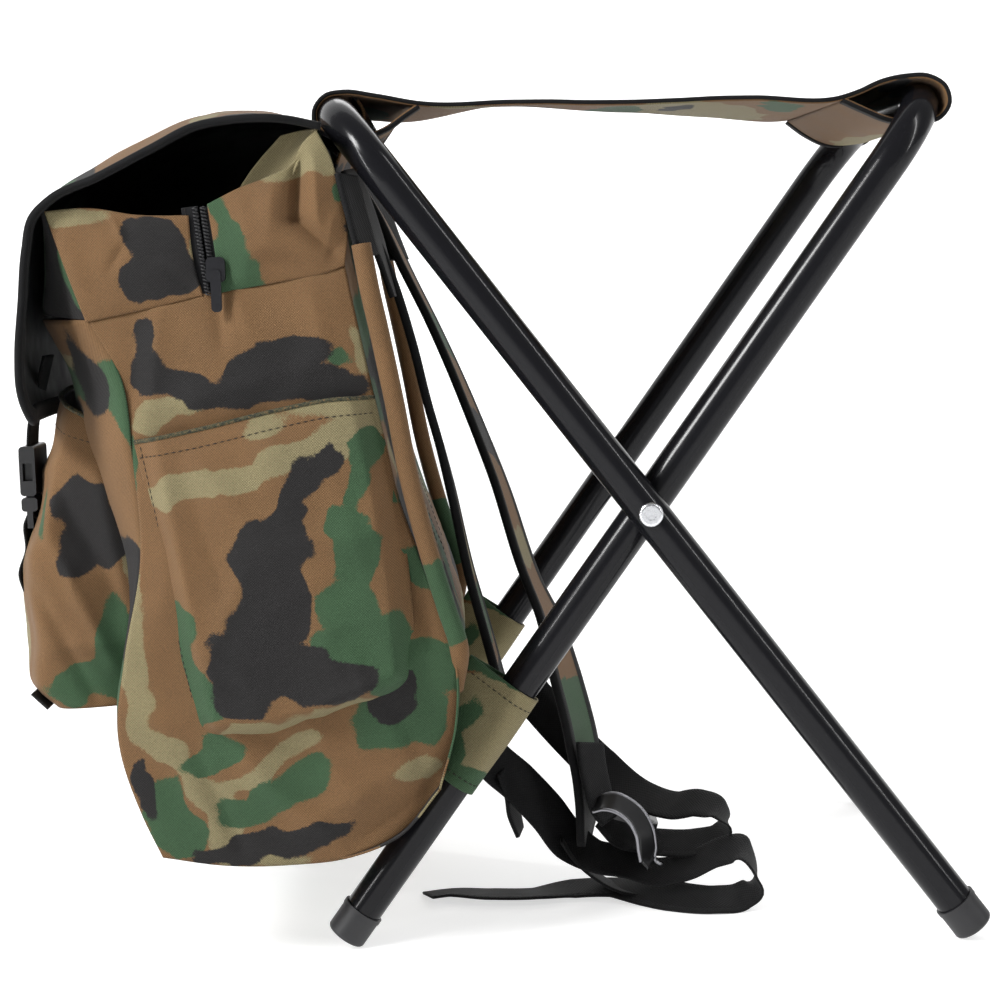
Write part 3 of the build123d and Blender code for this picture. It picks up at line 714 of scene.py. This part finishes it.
def cuff_front_part(side):
    """The cuff's side in front of its zip."""
    out = (0, side, 0)
    y = 145.8 * side
    left = at_y([(-267, 101), (-276, 128), (-284, 154)], y)
    right = at_y([(-211, 112), (-215, 132), (-216, 150)], y)
    bottom = at_y([(-267, 101), (-240, 106), (-211, 112)], y)
    top = at_y([(-284, 154), (-264, 155), (-240, 151), (-216, 150)], y)
    grid = bulged(patch(left, right, bottom, top, 46, 60), out, 3.0)
    creases = [
        (-262, 152, -246, 146, 4, -2.4), (-252, 150, -246, 138, 2.4, 2.0), (-246, 138, -254, 126, 2.4, -1.6),
        (-228, 128, -214, 122, 3.5, 1.6), (-226, 122, -214, 114, 3.5, -1.4), (-276, 140, -268, 112, 5, 1.6),
    ]
    grid = rumpled(creased(grid, creases, out), out, 1.1, 21)
    name = SIDE_NAMES[side]
    spots = CUFF_SPOTS if side == NEAR else None
    piece = cloth("cuff_fore_" + name, grid, "pack", out, 62, spots, "side", inside=COATING_AND_SHADE)
    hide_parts("cuff_side_" + name)


def cuff_rear_part(side):
    """The cuff's side behind its zip, with the deep pleat near its rear corner."""
    out = (0, side, 0)
    y = 145.8 * side
    left = at_y([(-203, 113), (-204.5, 134), (-207, 155)], y)
    right = at_y([(-143, 124), (-141, 140), (-144, 160), (-148, 176), (-154, 188)], y)
    bottom = at_y([(-203, 113), (-176, 117), (-150, 121.5), (-143, 124)], y)
    top = at_y([(-207, 155), (-192, 162), (-178, 167), (-166, 173), (-161, 182), (-154, 188)], y)
    grid = bulged(patch(left, right, bottom, top, 60, 76), out, 4.0)
    creases = [
        (-163, 172, -166, 148, 4.0, -9.0), (-166, 148, -149, 132, 4.0, -6.0), (-156, 176, -154, 140, 5, 4.0),
        (-176, 164, -178, 140, 7, 2.6), (-192, 158, -186, 130, 6, 1.4), (-152, 130, -146, 150, 3, 1.6),
        (-186, 128, -160, 124, 4, -1.4),
    ]
    grid = rumpled(creased(grid, creases, out), out, 1.0, 23)
    name = SIDE_NAMES[side]
    spots = CUFF_SPOTS if side == NEAR else None
    cloth("cuff_rear_" + name, grid, "pack", out, 62, spots, "side", inside=COATING_AND_SHADE)
    inner, outer = 132 * side, 144 * side
    left = at_y([(-196, 158), (-186, 172), (-172, 187)], inner)
    right = at_y([(-166, 168), (-160, 180), (-154, 189)], outer)
    bottom = at_y([(-196, 158), (-180, 163)], inner) + [(-166, outer, 168)]
    top = at_y([(-172, 187), (-163, 189)], inner) + [(-154, outer, 189)]
    gusset = patch(left, right, bottom, top, 26, 26)
    spots = {"tan": [(-176, 176, 40, 30, 0)]}
    cloth("cuff_gusset_" + name, gusset, "pack", out, 62, spots, "side", inside=COATING_AND_SHADE)


def cuff_zip(side):
    """Open-ended zip between the two halves of the cuff: tapes, coil teeth and their stitching; its slider is
    the CAD part.
    """
    name = SIDE_NAMES[side]
    rows, turns_points, pitch = 60, 900, 1.7
    line = spline(at_y([(-206.5, 112), (-209, 134), (-211, 154)], 145 * side), rows)
    length = np.linalg.norm(np.diff(line, axis=0), axis=1).sum()
    wave = np.linspace(0, 2 * math.pi * length / pitch, turns_points)
    coil_turn = np.stack([1.15 * np.cos(wave), 0.95 * side * np.sin(wave), 0 * wave], axis=1)
    for label, shift, tilt in (("fore", -4.6, 0.9), ("rear", 4.2, 0.5)):
        path = line + np.array([shift, -side * tilt, 0])
        across = np.tile([1.0, 0, 0.06], (rows, 1))
        tape = swept("zip_tape_%s_%s" % (label, name), path, across, band_section(8.0, 0.9), [TAPE], "pack")
        if label == "fore":
            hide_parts("cuff_zip_" + name)
        coil = spline(line + np.array([shift * 0.42, side * 0.3, 0]), turns_points) + coil_turn
        across = np.tile([0.2, 1.0, 0.1], (turns_points, 1))
        swept("zip_teeth_%s_%s" % (label, name), coil, across, round_section(0.36, 6), [TEETH], "pack")
        seam = path + np.array([shift * 0.5, side * 0.7, 0])
        stitches("zip_stitch_%s_%s" % (label, name), seam, "pack", THREAD, 2.6, 1.8, 0.25)


# ------------------------------------------------------------------ pockets
POCKET_SPOTS = {
    "tan": [(-234, 20, 12, 6, 5), (-214, 22, 16, 6, 8), (-196, 26, 16, 6, 15), (-176, 32, 16, 6, 20),
            (-150, 41, 18, 7, 25), (-136, 48, 10, 7, 10), (-150, 58, 20, 6, 8), (-186, 50, 10, 5, 5),
            (-126, 56, 8, 8, 0), (-196, -100, 34, 5, 12), (-150, -88, 14, 4, 10)],
    "green": [(-136, 38, 8, 8, 0), (-140, 22, 6, 10, 0), (-147, 4, 9, 9, 0), (-142, -14, 11, 12, 0),
              (-146, -38, 15, 14, 0), (-151, -60, 17, 14, 0), (-128, -62, 14, 20, 0), (-228, -44, 9, 9, 0),
              (-232, -66, 12, 18, 0), (-222, -84, 12, 14, 0), (-124, -76, 14, 8, 0)],
    "black": [(-152, 34, 9, 5, 20), (-166, 24, 9, 7, 40), (-172, 8, 9, 14, 0), (-178, -6, 16, 12, 0),
              (-186, -16, 15, 14, 0), (-180, -36, 15, 20, 0), (-198, -44, 8, 6, 0), (-192, -58, 21, 16, 0),
              (-178, -68, 26, 13, 5), (-200, -80, 12, 10, 10), (-158, -76, 22, 10, 8), (-208, -64, 8, 7, 0)],
}
POCKET_CREASES = [
    (-236, 30, -214, -70, 5, 1.6), (-224, 34, -206, -30, 6, -1.8), (-206, -76, -170, -92, 5, -2.0),
    (-160, -84, -124, -70, 4, 2.4), (-156, -92, -122, -80, 3, -2.6), (-146, -60, -138, -88, 5, 1.8),
    (-196, -20, -214, -60, 6, 1.6), (-150, 20, -136, -30, 8, 1.6), (-186, -40, -150, -20, 8, 1.2),
    (-222, -60, -216, -94, 4, -1.6),
]


def side_pocket(side):
    """Patch pocket on a side: sewn down three edges, its hemmed mouth standing a little open."""
    out = np.array([0, side, 0.0])
    y = 146 * side
    left = at_y([(-223, -103), (-232, -58), (-238, -10), (-247, 43)], y)
    right = at_y([(-116, -79), (-117, -30), (-123, 20), (-131, 61)], y)
    bottom = at_y([(-223, -103), (-198, -104), (-170, -99), (-148, -92), (-130, -88), (-116, -79)], y)
    top = at_y([(-247, 43), (-214, 49), (-176, 57), (-150, 61), (-131, 61)], y)
    grid = patch(left, right, bottom, top, 96, 88)
    u, v = shares(grid)
    edge = smooth(np.minimum(u, 1 - u) * 9) * smooth(v * 13)
    puff = 8.5 + 4.5 * np.sin(np.pi * u) + 2.5 * np.sin(np.pi * v)
    mouth = 3.5 * smooth((v - 0.86) / 0.14) * np.sin(np.pi * u)
    grid = grid + ((edge * puff) - mouth)[..., None] * out
    grid = rumpled(creased(grid, POCKET_CREASES, out), out, 1.6, 41)
    name = SIDE_NAMES[side]
    seed, spots = (83, POCKET_SPOTS) if side == NEAR else (91, None)
    piece = cloth("side_pocket_cloth_" + name, grid, "pack", out, seed, spots, "side", inside=COATING_AND_SHADE)
    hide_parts("side_pocket_" + name)
    stitches("pocket_hem_" + name, grid[-6] + 0.2 * out, "pack", THREAD, 3.4, 2.2, 0.3)
    stitches("pocket_seam_fore_" + name, grid[:, 2] + 0.2 * out, "pack")
    rolled_hem("pocket_roll_" + name, spline(grid[-1], 70) - 0.4 * out, 1.1, 70)


FRONT_SPOTS = {
    "tan": [(-259, -12, 4, 15, 0), (-262, 34, 5, 8, 0)],
    "green": [(-266, -60, 9, 24, 0), (-284, -80, 22, 9, 8), (-260, -84, 8, 8, 0), (-306, 6, 5, 12, 0)],
    "black": [(-280, 10, 16, 14, 0), (-276, -8, 17, 14, 0), (-286, -20, 10, 8, 0)],
}


FRONT_FORE = [(-303, -93), (-311, -85), (-313, -50), (-312, -21), (-303, 13), (-296, 40), (-291, 62)]
FRONT_BACK = [(-262, -92), (-262, -80), (-257, -50), (-249, -15), (-249, 15), (-252, 36), (-256, 44)]
FRONT_CREASES = [
    (-300, 10, -268, -70, 5, 4.0), (-290, 20, -262, -40, 5, -4.0), (-306, -30, -278, -88, 4, -3.0),
    (-304, -60, -266, -60, 5, 2.6), (-270, 30, -258, -60, 5, 2.8), (-296, 44, -264, 20, 5, 2.4),
    (-300, -10, -276, -20, 4, -2.2),
]


def front_pocket():
    """Big pocket on the front: a lofted shell, open at its mouth, its near side full of creases."""
    rows, columns, corner = 70, 150, 16.0
    fore, back = spline(at_y(FRONT_FORE, 0), rows), spline(at_y(FRONT_BACK, 0), rows)
    grid = np.zeros((rows, columns, 3))
    for r, v in enumerate(np.linspace(0, 1, rows)):
        (front_x, _, front_z), (back_x, _, back_z) = fore[r], back[r]
        depth = front_x - back_x
        half = 108 + 5 * math.sin(math.pi * v)
        outline = [
            (back_x, -half + 2), (back_x + 0.55 * depth, -half - 1.5), (front_x + corner * 0.5, -half + 1),
            (front_x + 1, -half + corner), (front_x - 5, -half * 0.45), (front_x - 6, 0),
            (front_x - 5, half * 0.45), (front_x + 1, half - corner), (front_x + corner * 0.5, half - 1),
            (back_x + 0.55 * depth, half + 1.5), (back_x, half - 2),
        ]
        grid[r] = spline([(x, y, 0) for x, y in outline], columns)
        grid[r, :, 2] = front_z + (back_z - front_z) * (grid[r, :, 0] - front_x) / (back_x - front_x)
    crushed = creased(grid, FRONT_CREASES, (0, -1, 0))
    grid = np.where((grid[..., 1] < -80)[..., None], crushed, grid)
    grid = rumpled(grid, (-1, 0, 0), 1.9, 51)
    run = np.zeros(grid.shape[:2])
    run[:, 1:] = np.cumsum(np.linalg.norm(np.diff(grid, axis=1), axis=2), axis=1)
    plan = np.stack([grid[:, :1, 0] - run, grid[..., 2]], axis=2)
    out = (-1, 0, 0)
    piece = cloth("front_pocket_cloth", grid, "pack", out, 58, FRONT_SPOTS, inside=COATING_AND_SHADE, plan=plan,
                  limit=-330)
    near_side = place((0, -100, 0))[1]
    normals = sum((p.normal for p in piece.data.polygons if p.center.y < near_side), Vector())
    if normals.y > 0:
        piece.data.flip_normals()
    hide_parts("front_pocket")
    left, right = at_y(FRONT_FORE[:2], -108), at_y(FRONT_FORE[:2], 108)
    bottom = [(-303, -108, -93), (-303, 0, -94), (-303, 108, -93)]
    top = [(-262, -108, -92), (-262, 0, -93), (-262, 108, -92)]
    floor = patch(left, right, bottom, top, 20, 60)
    cloth("front_pocket_floor", floor, "pack", (0, 0, -1), 59, inside=COATING_AND_SHADE)
    rolled_hem("front_pocket_hem", spline(grid[-1], 120), 1.3, 120)
    stitches("front_pocket_stitch", grid[-7][::2], "pack")


# ------------------------------------------------------------------ flap
FLAP_EDGE = [
    (-152, 190), (-168, 193.5), (-193, 194), (-210, 191.5), (-232, 181.5), (-258, 169), (-280, 159.5),
    (-289, 151), (-293, 136), (-296, 112), (-299, 86), (-299, 66), (-297, 55),
]
FLAP_MIDDLE = [
    (-160, 195), (-174, 202), (-196, 206), (-216, 205), (-240, 197), (-266, 184), (-288, 168), (-298, 156),
    (-303, 138), (-306, 112), (-307, 86), (-306, 66), (-304, 54),
]
FLAP_FAR = [
    (-152, 184), (-168, 180), (-190, 166), (-208, 154), (-230, 148), (-256, 145), (-278, 142), (-290, 136),
    (-296, 124), (-299, 104), (-300, 82), (-300, 64), (-298, 54),
]


def flap():
    """Lid of the bag, crowned in the middle, hanging down its far side and bound in black."""
    rows, columns = 110, 90
    edge, middle, hung = [spline(at_y(line, 0), rows)[:, None] for line in (FLAP_EDGE, FLAP_MIDDLE, FLAP_FAR)]
    s = np.linspace(-1, 1, columns)
    near_share = np.where(s < 0, np.abs(s) ** 2.2, 0)[None, :, None]
    far_share = np.where(s > 0, s, 0)[None, :, None] ** 4.5
    grid = middle * (1 - near_share - far_share) + edge * near_share + hung * far_share
    v = np.linspace(0, 1, rows)
    corner = np.clip((v - 0.90) / 0.10, 0, 1)
    half = 151 - 20 * (1 - np.sqrt(1 - 0.97 * corner**2)) - 5 * smooth((0.12 - v) / 0.12)
    grid[..., 1] = half[:, None] * s[None]
    grid = rumpled(grid, (-0.3, 0, 0.95), 1.1, 71, 46)
    piece = cloth("flap_cloth", grid, "flap", (-0.4, 0, 1), 97, thick=1.4, inside=COATING_AND_SHADE)
    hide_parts("flap_panel")
    rim = np.concatenate([grid[:, 0], grid[-1, 1:-1], grid[::-1, -1]])
    edges = (((0, 1, 0), rows), ((0, 0, 1), columns - 2), ((0, -1, 0), rows))
    inward = np.concatenate([np.tile(np.array(way, float), (count, 1)) for way, count in edges])
    blend = np.array([inward[max(0, i - 5):i + 6].mean(axis=0) for i in range(len(inward))])
    path = rim + 2.6 * blend
    step = np.linalg.norm(np.diff(path, axis=0), axis=1)
    keep = np.r_[True, step > 0.2]
    tape = swept("flap_binding_tape", path[keep], blend[keep], band_section(9.0, 3.6), [BINDING], "flap")
    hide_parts("flap_binding_near", "flap_binding_far")


# ------------------------------------------------------------------ back
def back_of_pack():
    """Padded back cover with sewn channels."""
    rows, columns = 90, 80
    v, s = np.linspace(0, 1, rows), np.linspace(-1, 1, columns)
    z = -78 + 188 * v
    line = np.interp(z, [-130, -100, -70, -34, 11, 60, 124], [-106, -97, -96, -106, -121, -131, -143])
    side = 1 - np.abs(s) ** 6
    ends = smooth(v / 0.07) * smooth((1 - v) / 0.07)
    ribs = 0.78 + 0.22 * np.abs(np.sin(math.pi * (s[None] * 2.5 + 0.5)))
    proud = 5.5 * side[None] * ends[:, None] * ribs
    grid = np.zeros((rows, columns, 3))
    grid[..., 0] = line[:, None] - 2.0 + proud
    grid[..., 1] = 95 * s[None]
    grid[..., 2] = z[:, None]
    grid = rumpled(grid, (1, 0, 0), 0.6, 77)
    piece = cloth("back_pad_cloth", grid, "pack", (1, 0, 0), 120, thick=1.0)
    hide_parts("back_pad", "back_foam")
    for i, column in enumerate((16, 32, 48, 64)):
        stitches("back_stitch_%d" % i, grid[6:-6, column] + np.array([0.3, 0, 0]), "pack")


def hanger():
    """Cloth loop that carries the bag on the rear top bar."""
    bar = np.array([-BAR[0], BAR[1]])
    angles = np.radians(np.linspace(215, -95, 46))
    loop = [(bar[0] + 12.8 * math.cos(a), bar[1] + 12.8 * math.sin(a)) for a in angles[::-1]]
    profile = spline(at_y([(-150, 172)] + loop[4:] + [(-157, 186), (-154, 176)], 0), 90)
    s = np.linspace(-1, 1, 40)
    grid = np.repeat(profile[:, None], 40, axis=1)
    grid[..., 1] = 86 * s[None]
    piece = cloth("hanger_loop", grid, "pack", (0, 0, 1), 131, thick=1.4)
    piece.modifiers["thickness"].offset = 0
    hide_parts("pack_hanger")


# ------------------------------------------------------------------ straps and webbing
def edge_on(points, tilts):
    """Side directions for a band that is seen on its edge from the near side, turned by the given degrees."""
    path = np.array(points, float)
    forward = np.gradient(path, axis=0)
    forward /= np.linalg.norm(forward, axis=1, keepdims=True)
    view = path - np.array(EYE).round()  # whole millimetres are near enough to turn a band by
    view -= (view * forward).sum(axis=1, keepdims=True) * forward
    view /= np.linalg.norm(view, axis=1, keepdims=True)
    turn = np.radians(np.array(tilts, float))[:, None]
    return view * np.cos(turn) + np.cross(forward, view) * np.sin(turn)


def shoulder_strap(name, path, tilts, spots, dark_from):
    """Flat padded strap: camouflage faces with a black binding along both edges and at its foot."""
    half = 26.0
    section = band_section(2 * half, 3.4, 15)
    following = section[1:] + section[:1]
    kinds = [int(abs(a[0] + b[0]) / 2 > half - 9.0) for a, b in zip(section, following)]
    swollen = [(x, y * (1.35 if abs(x) > half - 6.5 else 1.0)) for x, y in section]
    line, side = spline(path, 130), along(path, edge_on(path, tilts), 130)
    seed, cloths = 140 + len(name), [CAMO, BINDING]
    piece = swept("strap_" + name, line, side, swollen, cloths, "pack", kinds, seed, spots, dark_from)
    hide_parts("shoulder_strap_" + name)


def straps():
    """Both shoulder straps, from the bag's top to the webbing at its foot, and the rolled rear seams."""
    near = [
        (-142, -62, 170), (-133, -62, 143), (-124, -62, 119), (-114, -62, 83), (-108, -62, 55), (-102, -62, 31),
        (-97, -62, 8), (-88, -62, -39), (-81, -62, -67), (-75, -62, -92), (-72, -60, -104),
    ]
    spots = {
        "tan": [(60, 205, 90, 12, 0)],
        "green": [(60, 120, 90, 20, 0), (60, 236, 90, 14, 0)],
        "black": [(60, 70, 90, 14, 0)],
    }
    shoulder_strap("near", near, [0, 0, 0, 0, 0, 0, 1, 2, 3, 3, 3], spots, 262)
    far = [
        (-144, 50, 172), (-132, 46, 151), (-118, 40, 120), (-104, 33, 90), (-93, 26, 64), (-83, 20, 38),
        (-71, 10, 5), (-54, -4, -51), (-46, -9, -70), (-38, -18, -101), (-30, -26, -139), (-28, -32, -164),
        (-31, -36, -190),
    ]
    spots = {
        "tan": [(60, 226, 90, 12, 0)],
        "green": [(60, 96, 90, 14, 0), (60, 328, 90, 24, 0)],
        "black": [(60, 160, 90, 14, 0)],
    }
    shoulder_strap("far", far, [2, 2, 3, 3, 4, 5, 6, 8, 11, 16, 17, 13, 4], spots, 354)
    roll = [
        (-136, -146, 134), (-133, -147, 114), (-129, -147, 93), (-123, -147, 59), (-117, -147, 21),
        (-108, -147, -18), (-101, -147, -43), (-96, -144, -62), (-99, -134, -84),
    ]
    path = spline(roll, 120)
    path[:, 0] += 1.2
    side = np.tile([0.9, 0.3, 0.2], (120, 1))
    spots = {"green": [(15, 176, 40, 22, 0)]}
    section = round_section(4.8, 18, 0.9)
    swept("back_roll", path, side, section, [CAMO], "pack", None, 163, spots)
    swept("back_roll_far", mirrored(path), mirrored(side), section, [CAMO], "pack", None, 167, spots)


ANCHORS = {
    "near": [(-141, -136, 167), (-139, -137, 158), (-136, -137, 145), (-134, -137, 136), (-132, -137, 128)],
    "far": [(-146, 66, 181), (-140, 62, 170), (-133, 58, 156), (-128, 56, 142), (-123, 54, 128)],
}
STRAP_HEAD = [(-142, -90, 172), (-136, -90, 157), (-130, -90, 138), (-125, -90, 120), (-122, -90, 108)]
TONGUE = [(-27, -42, -134), (-26, -46, -146), (-24, -50, -157), (-21, -54, -168), (-17, -56, -173)]
THIN_END = [(-44, -47, -184), (-38, -47, -194), (-26, -47, -206), (-15, -47, -213), (-2, -49, -216)]
LOOSE_TAB = [(-74, -43, -146), (-70, -42, -158), (-69, -42, -170), (-66, -42, -182)]
UPPER = [
    (-66, 24, -106), (-56, 16, -118), (-38, 4, -138), (-20, -8, -155), (1, -20, -169), (18, -30, -173),
    (32, -36, -171), (42, -40, -174), (46, -42, -181), (41, -42, -188), (28, -42, -191), (12, -40, -191),
    (-4, -40, -188), (-13, -42, -182), (-19, -44, -172),
]
UPPER_LEAN = (
    [(0.55, 0.6, 0.55)] * 4 + [(0.3, 0.85, 0.4)] + [(0.05, 0.94, 0.34)] * 8
    + [(0.3, 0.85, 0.5), (0.5, 0.7, 0.5)]
)
LOWER = [
    (-73, -60, -104), (-82, -52, -122), (-81, -45, -138), (-65, -44, -155), (-51, -45, -171), (-40, -46, -186),
    (-26, -48, -195), (-10, -50, -198), (6, -54, -203), (24, -58, -199), (40, -62, -191), (51, -66, -189),
    (57, -68, -199), (57, -70, -208), (50, -71, -212.6), (34, -74, -213.4), (18, -68, -213.4), (2, -56, -213),
    (-15, -46, -213.2), (-38, -42, -214.2), (-59, -46, -215.0), (-83, -44, -215.0), (-105, -38, -215.2),
    (-117, -41, -215.4),
]
LOWER_LEAN = (
    [(0.9, 0.6, 0.3)] + [(0.5, 0.6, 0.6)] * 5 + [(0.25, 0.85, 0.45)] * 2 + [(0.05, 0.94, 0.34)] * 6
    + [(0, 0.94, 0.30)] * 2 + [(0, 0.95, 0.3)] * 2 + [(0.05, 0.99, 0.10)] * 2 + [(0.05, 1, -0.08)] * 2
    + [(0.08, 1, -0.15)] * 2
)
LOCK_OUTER = [
    (-27, -56, -166), (-22, -56, -160), (-15, -56, -159), (-8, -56, -162), (-1, -56, -168), (4, -56, -177),
    (6, -56, -188), (6, -56, -197), (9, -56, -199),
]
LOCK_INNER = [
    (-28, -66, -166), (-22, -66, -165), (-15, -66, -167), (-9, -66, -172), (-5, -66, -180), (-4, -66, -188),
    (-3, -66, -194),
]
UNDER_FLAP = [(-299, 84), (-304, 66), (-308.5, 48), (-309.5, 38)]
PLUG_TAIL = [(-307, -8), (-307, 2), (-309.6, 5.2), (-312.4, 1), (-313, -14), (-317, -27), (-315, -35)]
WEB = 25


def webbing():
    """Sewn anchors, tongue, adjuster loops, the long tail on the ground and the buckles' webbing."""
    for name, path in ANCHORS.items():
        piece = band("anchor_" + name, path, edge_on(path, [22] * 5), WEB, 3.0, WEBBING, "pack", 40)
        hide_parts("strap_anchor_" + name)
    band("strap_head_near", STRAP_HEAD, edge_on(STRAP_HEAD, [16, 15, 13, 8, 4]), WEB, 3.0, WEBBING, "pack", 40)
    piece = band("tongue", TONGUE, edge_on(TONGUE, [34, 34, 33, 32, 30]), WEB, 2.4, WEBBING, "pack", 30)
    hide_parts("strap_tongue")
    piece = band("adjuster_near", UPPER, UPPER_LEAN, WEB, 1.5, WEBBING, "pack", 200)
    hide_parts("adjuster_webbing_near")
    piece = band("adjuster_far", LOWER, LOWER_LEAN, WEB, 1.5, WEBBING, "pack", 300)
    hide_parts("adjuster_webbing_far")
    band("adjuster_end", THIN_END, edge_on(THIN_END, [10] * 5), 20, 1.6, WEBBING, "pack", 50)
    band("loose_tab", LOOSE_TAB, edge_on(LOOSE_TAB, [24, 24, 20, 12]), 20, 2.2, WEBBING, "pack", 30)
    outer, inner = spline(LOCK_OUTER, 60), spline(LOCK_INNER, 60)
    swept("lock_plate", (outer + inner) / 2, outer - inner, band_section(12.0, 1.4), [PLASTIC], "pack")
    along_pivot = np.tile([0.0, 1.0, 0.0], (60, 1))
    # The rims get the pale metal, a painted highlight on the black plastic lock.
    for name, path in (("outer", outer), ("inner", inner)):
        swept("lock_rim_" + name, path, along_pivot, round_section(1.0), [RIM_HIGHLIGHT], "pack")
    for side, name in SIDE_NAMES.items():
        under, tail = at_y(UNDER_FLAP, 78 * side), at_y(PLUG_TAIL, 78 * side)
        piece = band("flap_web_" + name, under, [(0, 1, 0)] * len(under), WEB, 1.6, WEBBING, "flap", 30)
        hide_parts("flap_webbing_" + name)
        piece = band("tail_" + name, tail, [(0, 1, 0)] * len(tail), WEB, 1.5, WEBBING, "plug_" + name, 60)
        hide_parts("plug_tail_" + name)


# ------------------------------------------------------------------ stage
def white_plane(name, size, at, turn, paint, glow):
    """A plain white plane of the studio, glowing a little."""
    material, tree, shader = start_material(name)
    shader.inputs["Base Color"].default_value = (paint, paint, paint, 1)
    shader.inputs["Emission Color"].default_value = (1, 1, 1, 1)
    shader.inputs["Emission Strength"].default_value = glow
    bpy.ops.mesh.primitive_plane_add(size=size, location=at, rotation=(turn, 0, 0))
    plane = bpy.context.object
    plane.name = name
    plane.data.materials.append(material)
    return plane, shader


def stage():
    """White floor and backdrop, and soft light."""
    floor, shader = white_plane("floor", 14, (0, 0, 0), 0, 0.62, 0.62)
    shader.inputs["Roughness"].default_value = 0.9
    shader.inputs["Specular IOR Level"].default_value = 0.1
    backdrop, _ = white_plane("backdrop", 12, (0, 3.2, 2.0), math.pi / 2, 0.8, 0.75)
    world = bpy.data.worlds.new("studio")
    bpy.context.scene.world = world
    world.use_nodes = True
    world.node_tree.nodes["Background"].inputs["Color"].default_value = (1, 1, 1, 1)
    world.node_tree.nodes["Background"].inputs["Strength"].default_value = 0.30
    lights = [
        ("key", (-1.35, -1.0, 1.45), (0.6, 0.6), 34.0),
        ("strip", (-1.3, -1.0, 0.8), (0.05, 1.9), 16.0),
        ("rim", (1.3, -0.7, 1.1), (0.05, 1.7), 9.0),
        ("back", (0.4, 1.6, 1.4), (1.6, 1.0), 10.0),
    ]
    target = Vector((0.0, 0.0, 0.2))
    for name, at, size, power in lights:
        data = bpy.data.lights.new(name, "AREA")
        data.shape = "RECTANGLE"
        data.size, data.size_y = size
        data.energy = power
        light = bpy.data.objects.new(name, data)
        bpy.context.scene.collection.objects.link(light)
        light.location = at
        light.rotation_euler = (target - Vector(at)).to_track_quat("-Z", "Y").to_euler()


def camera():
    """The viewpoint of the photo, a little above the bag's middle."""
    yaw, pitch, roll = 0.0142, 0.1047, -0.0314
    level = math.cos(pitch)
    forward = Vector((math.sin(yaw) * level, math.cos(yaw) * level, -math.sin(pitch)))
    right = forward.cross(Vector((0, 0, 1))).normalized()
    up = right.cross(forward)
    turned = right * math.cos(roll) + up * math.sin(roll)
    upward = up * math.cos(roll) - right * math.sin(roll)
    data = bpy.data.cameras.new("camera")
    data.sensor_width = 36
    data.lens = 76.035
    seen = bpy.data.objects.new("camera", data)
    bpy.context.scene.collection.objects.link(seen)
    axes = Matrix((turned, upward, -forward)).transposed()
    seen.matrix_world = Matrix.Translation(Vector(place(EYE))) @ axes.to_4x4()
    bpy.context.scene.camera = seen


paint_nodes()
seat_cloth()
for side in (NEAR, FAR):
    leg_sleeve(side)
    side_panel(side)
    cuff_front_part(side)
    cuff_rear_part(side)
    cuff_zip(side)
    side_pocket(side)
wide_panels()
front_pocket()
flap()
back_of_pack()
hanger()
straps()
webbing()
stage()
camera()
bpy.context.scene.view_settings.view_transform = "Standard"
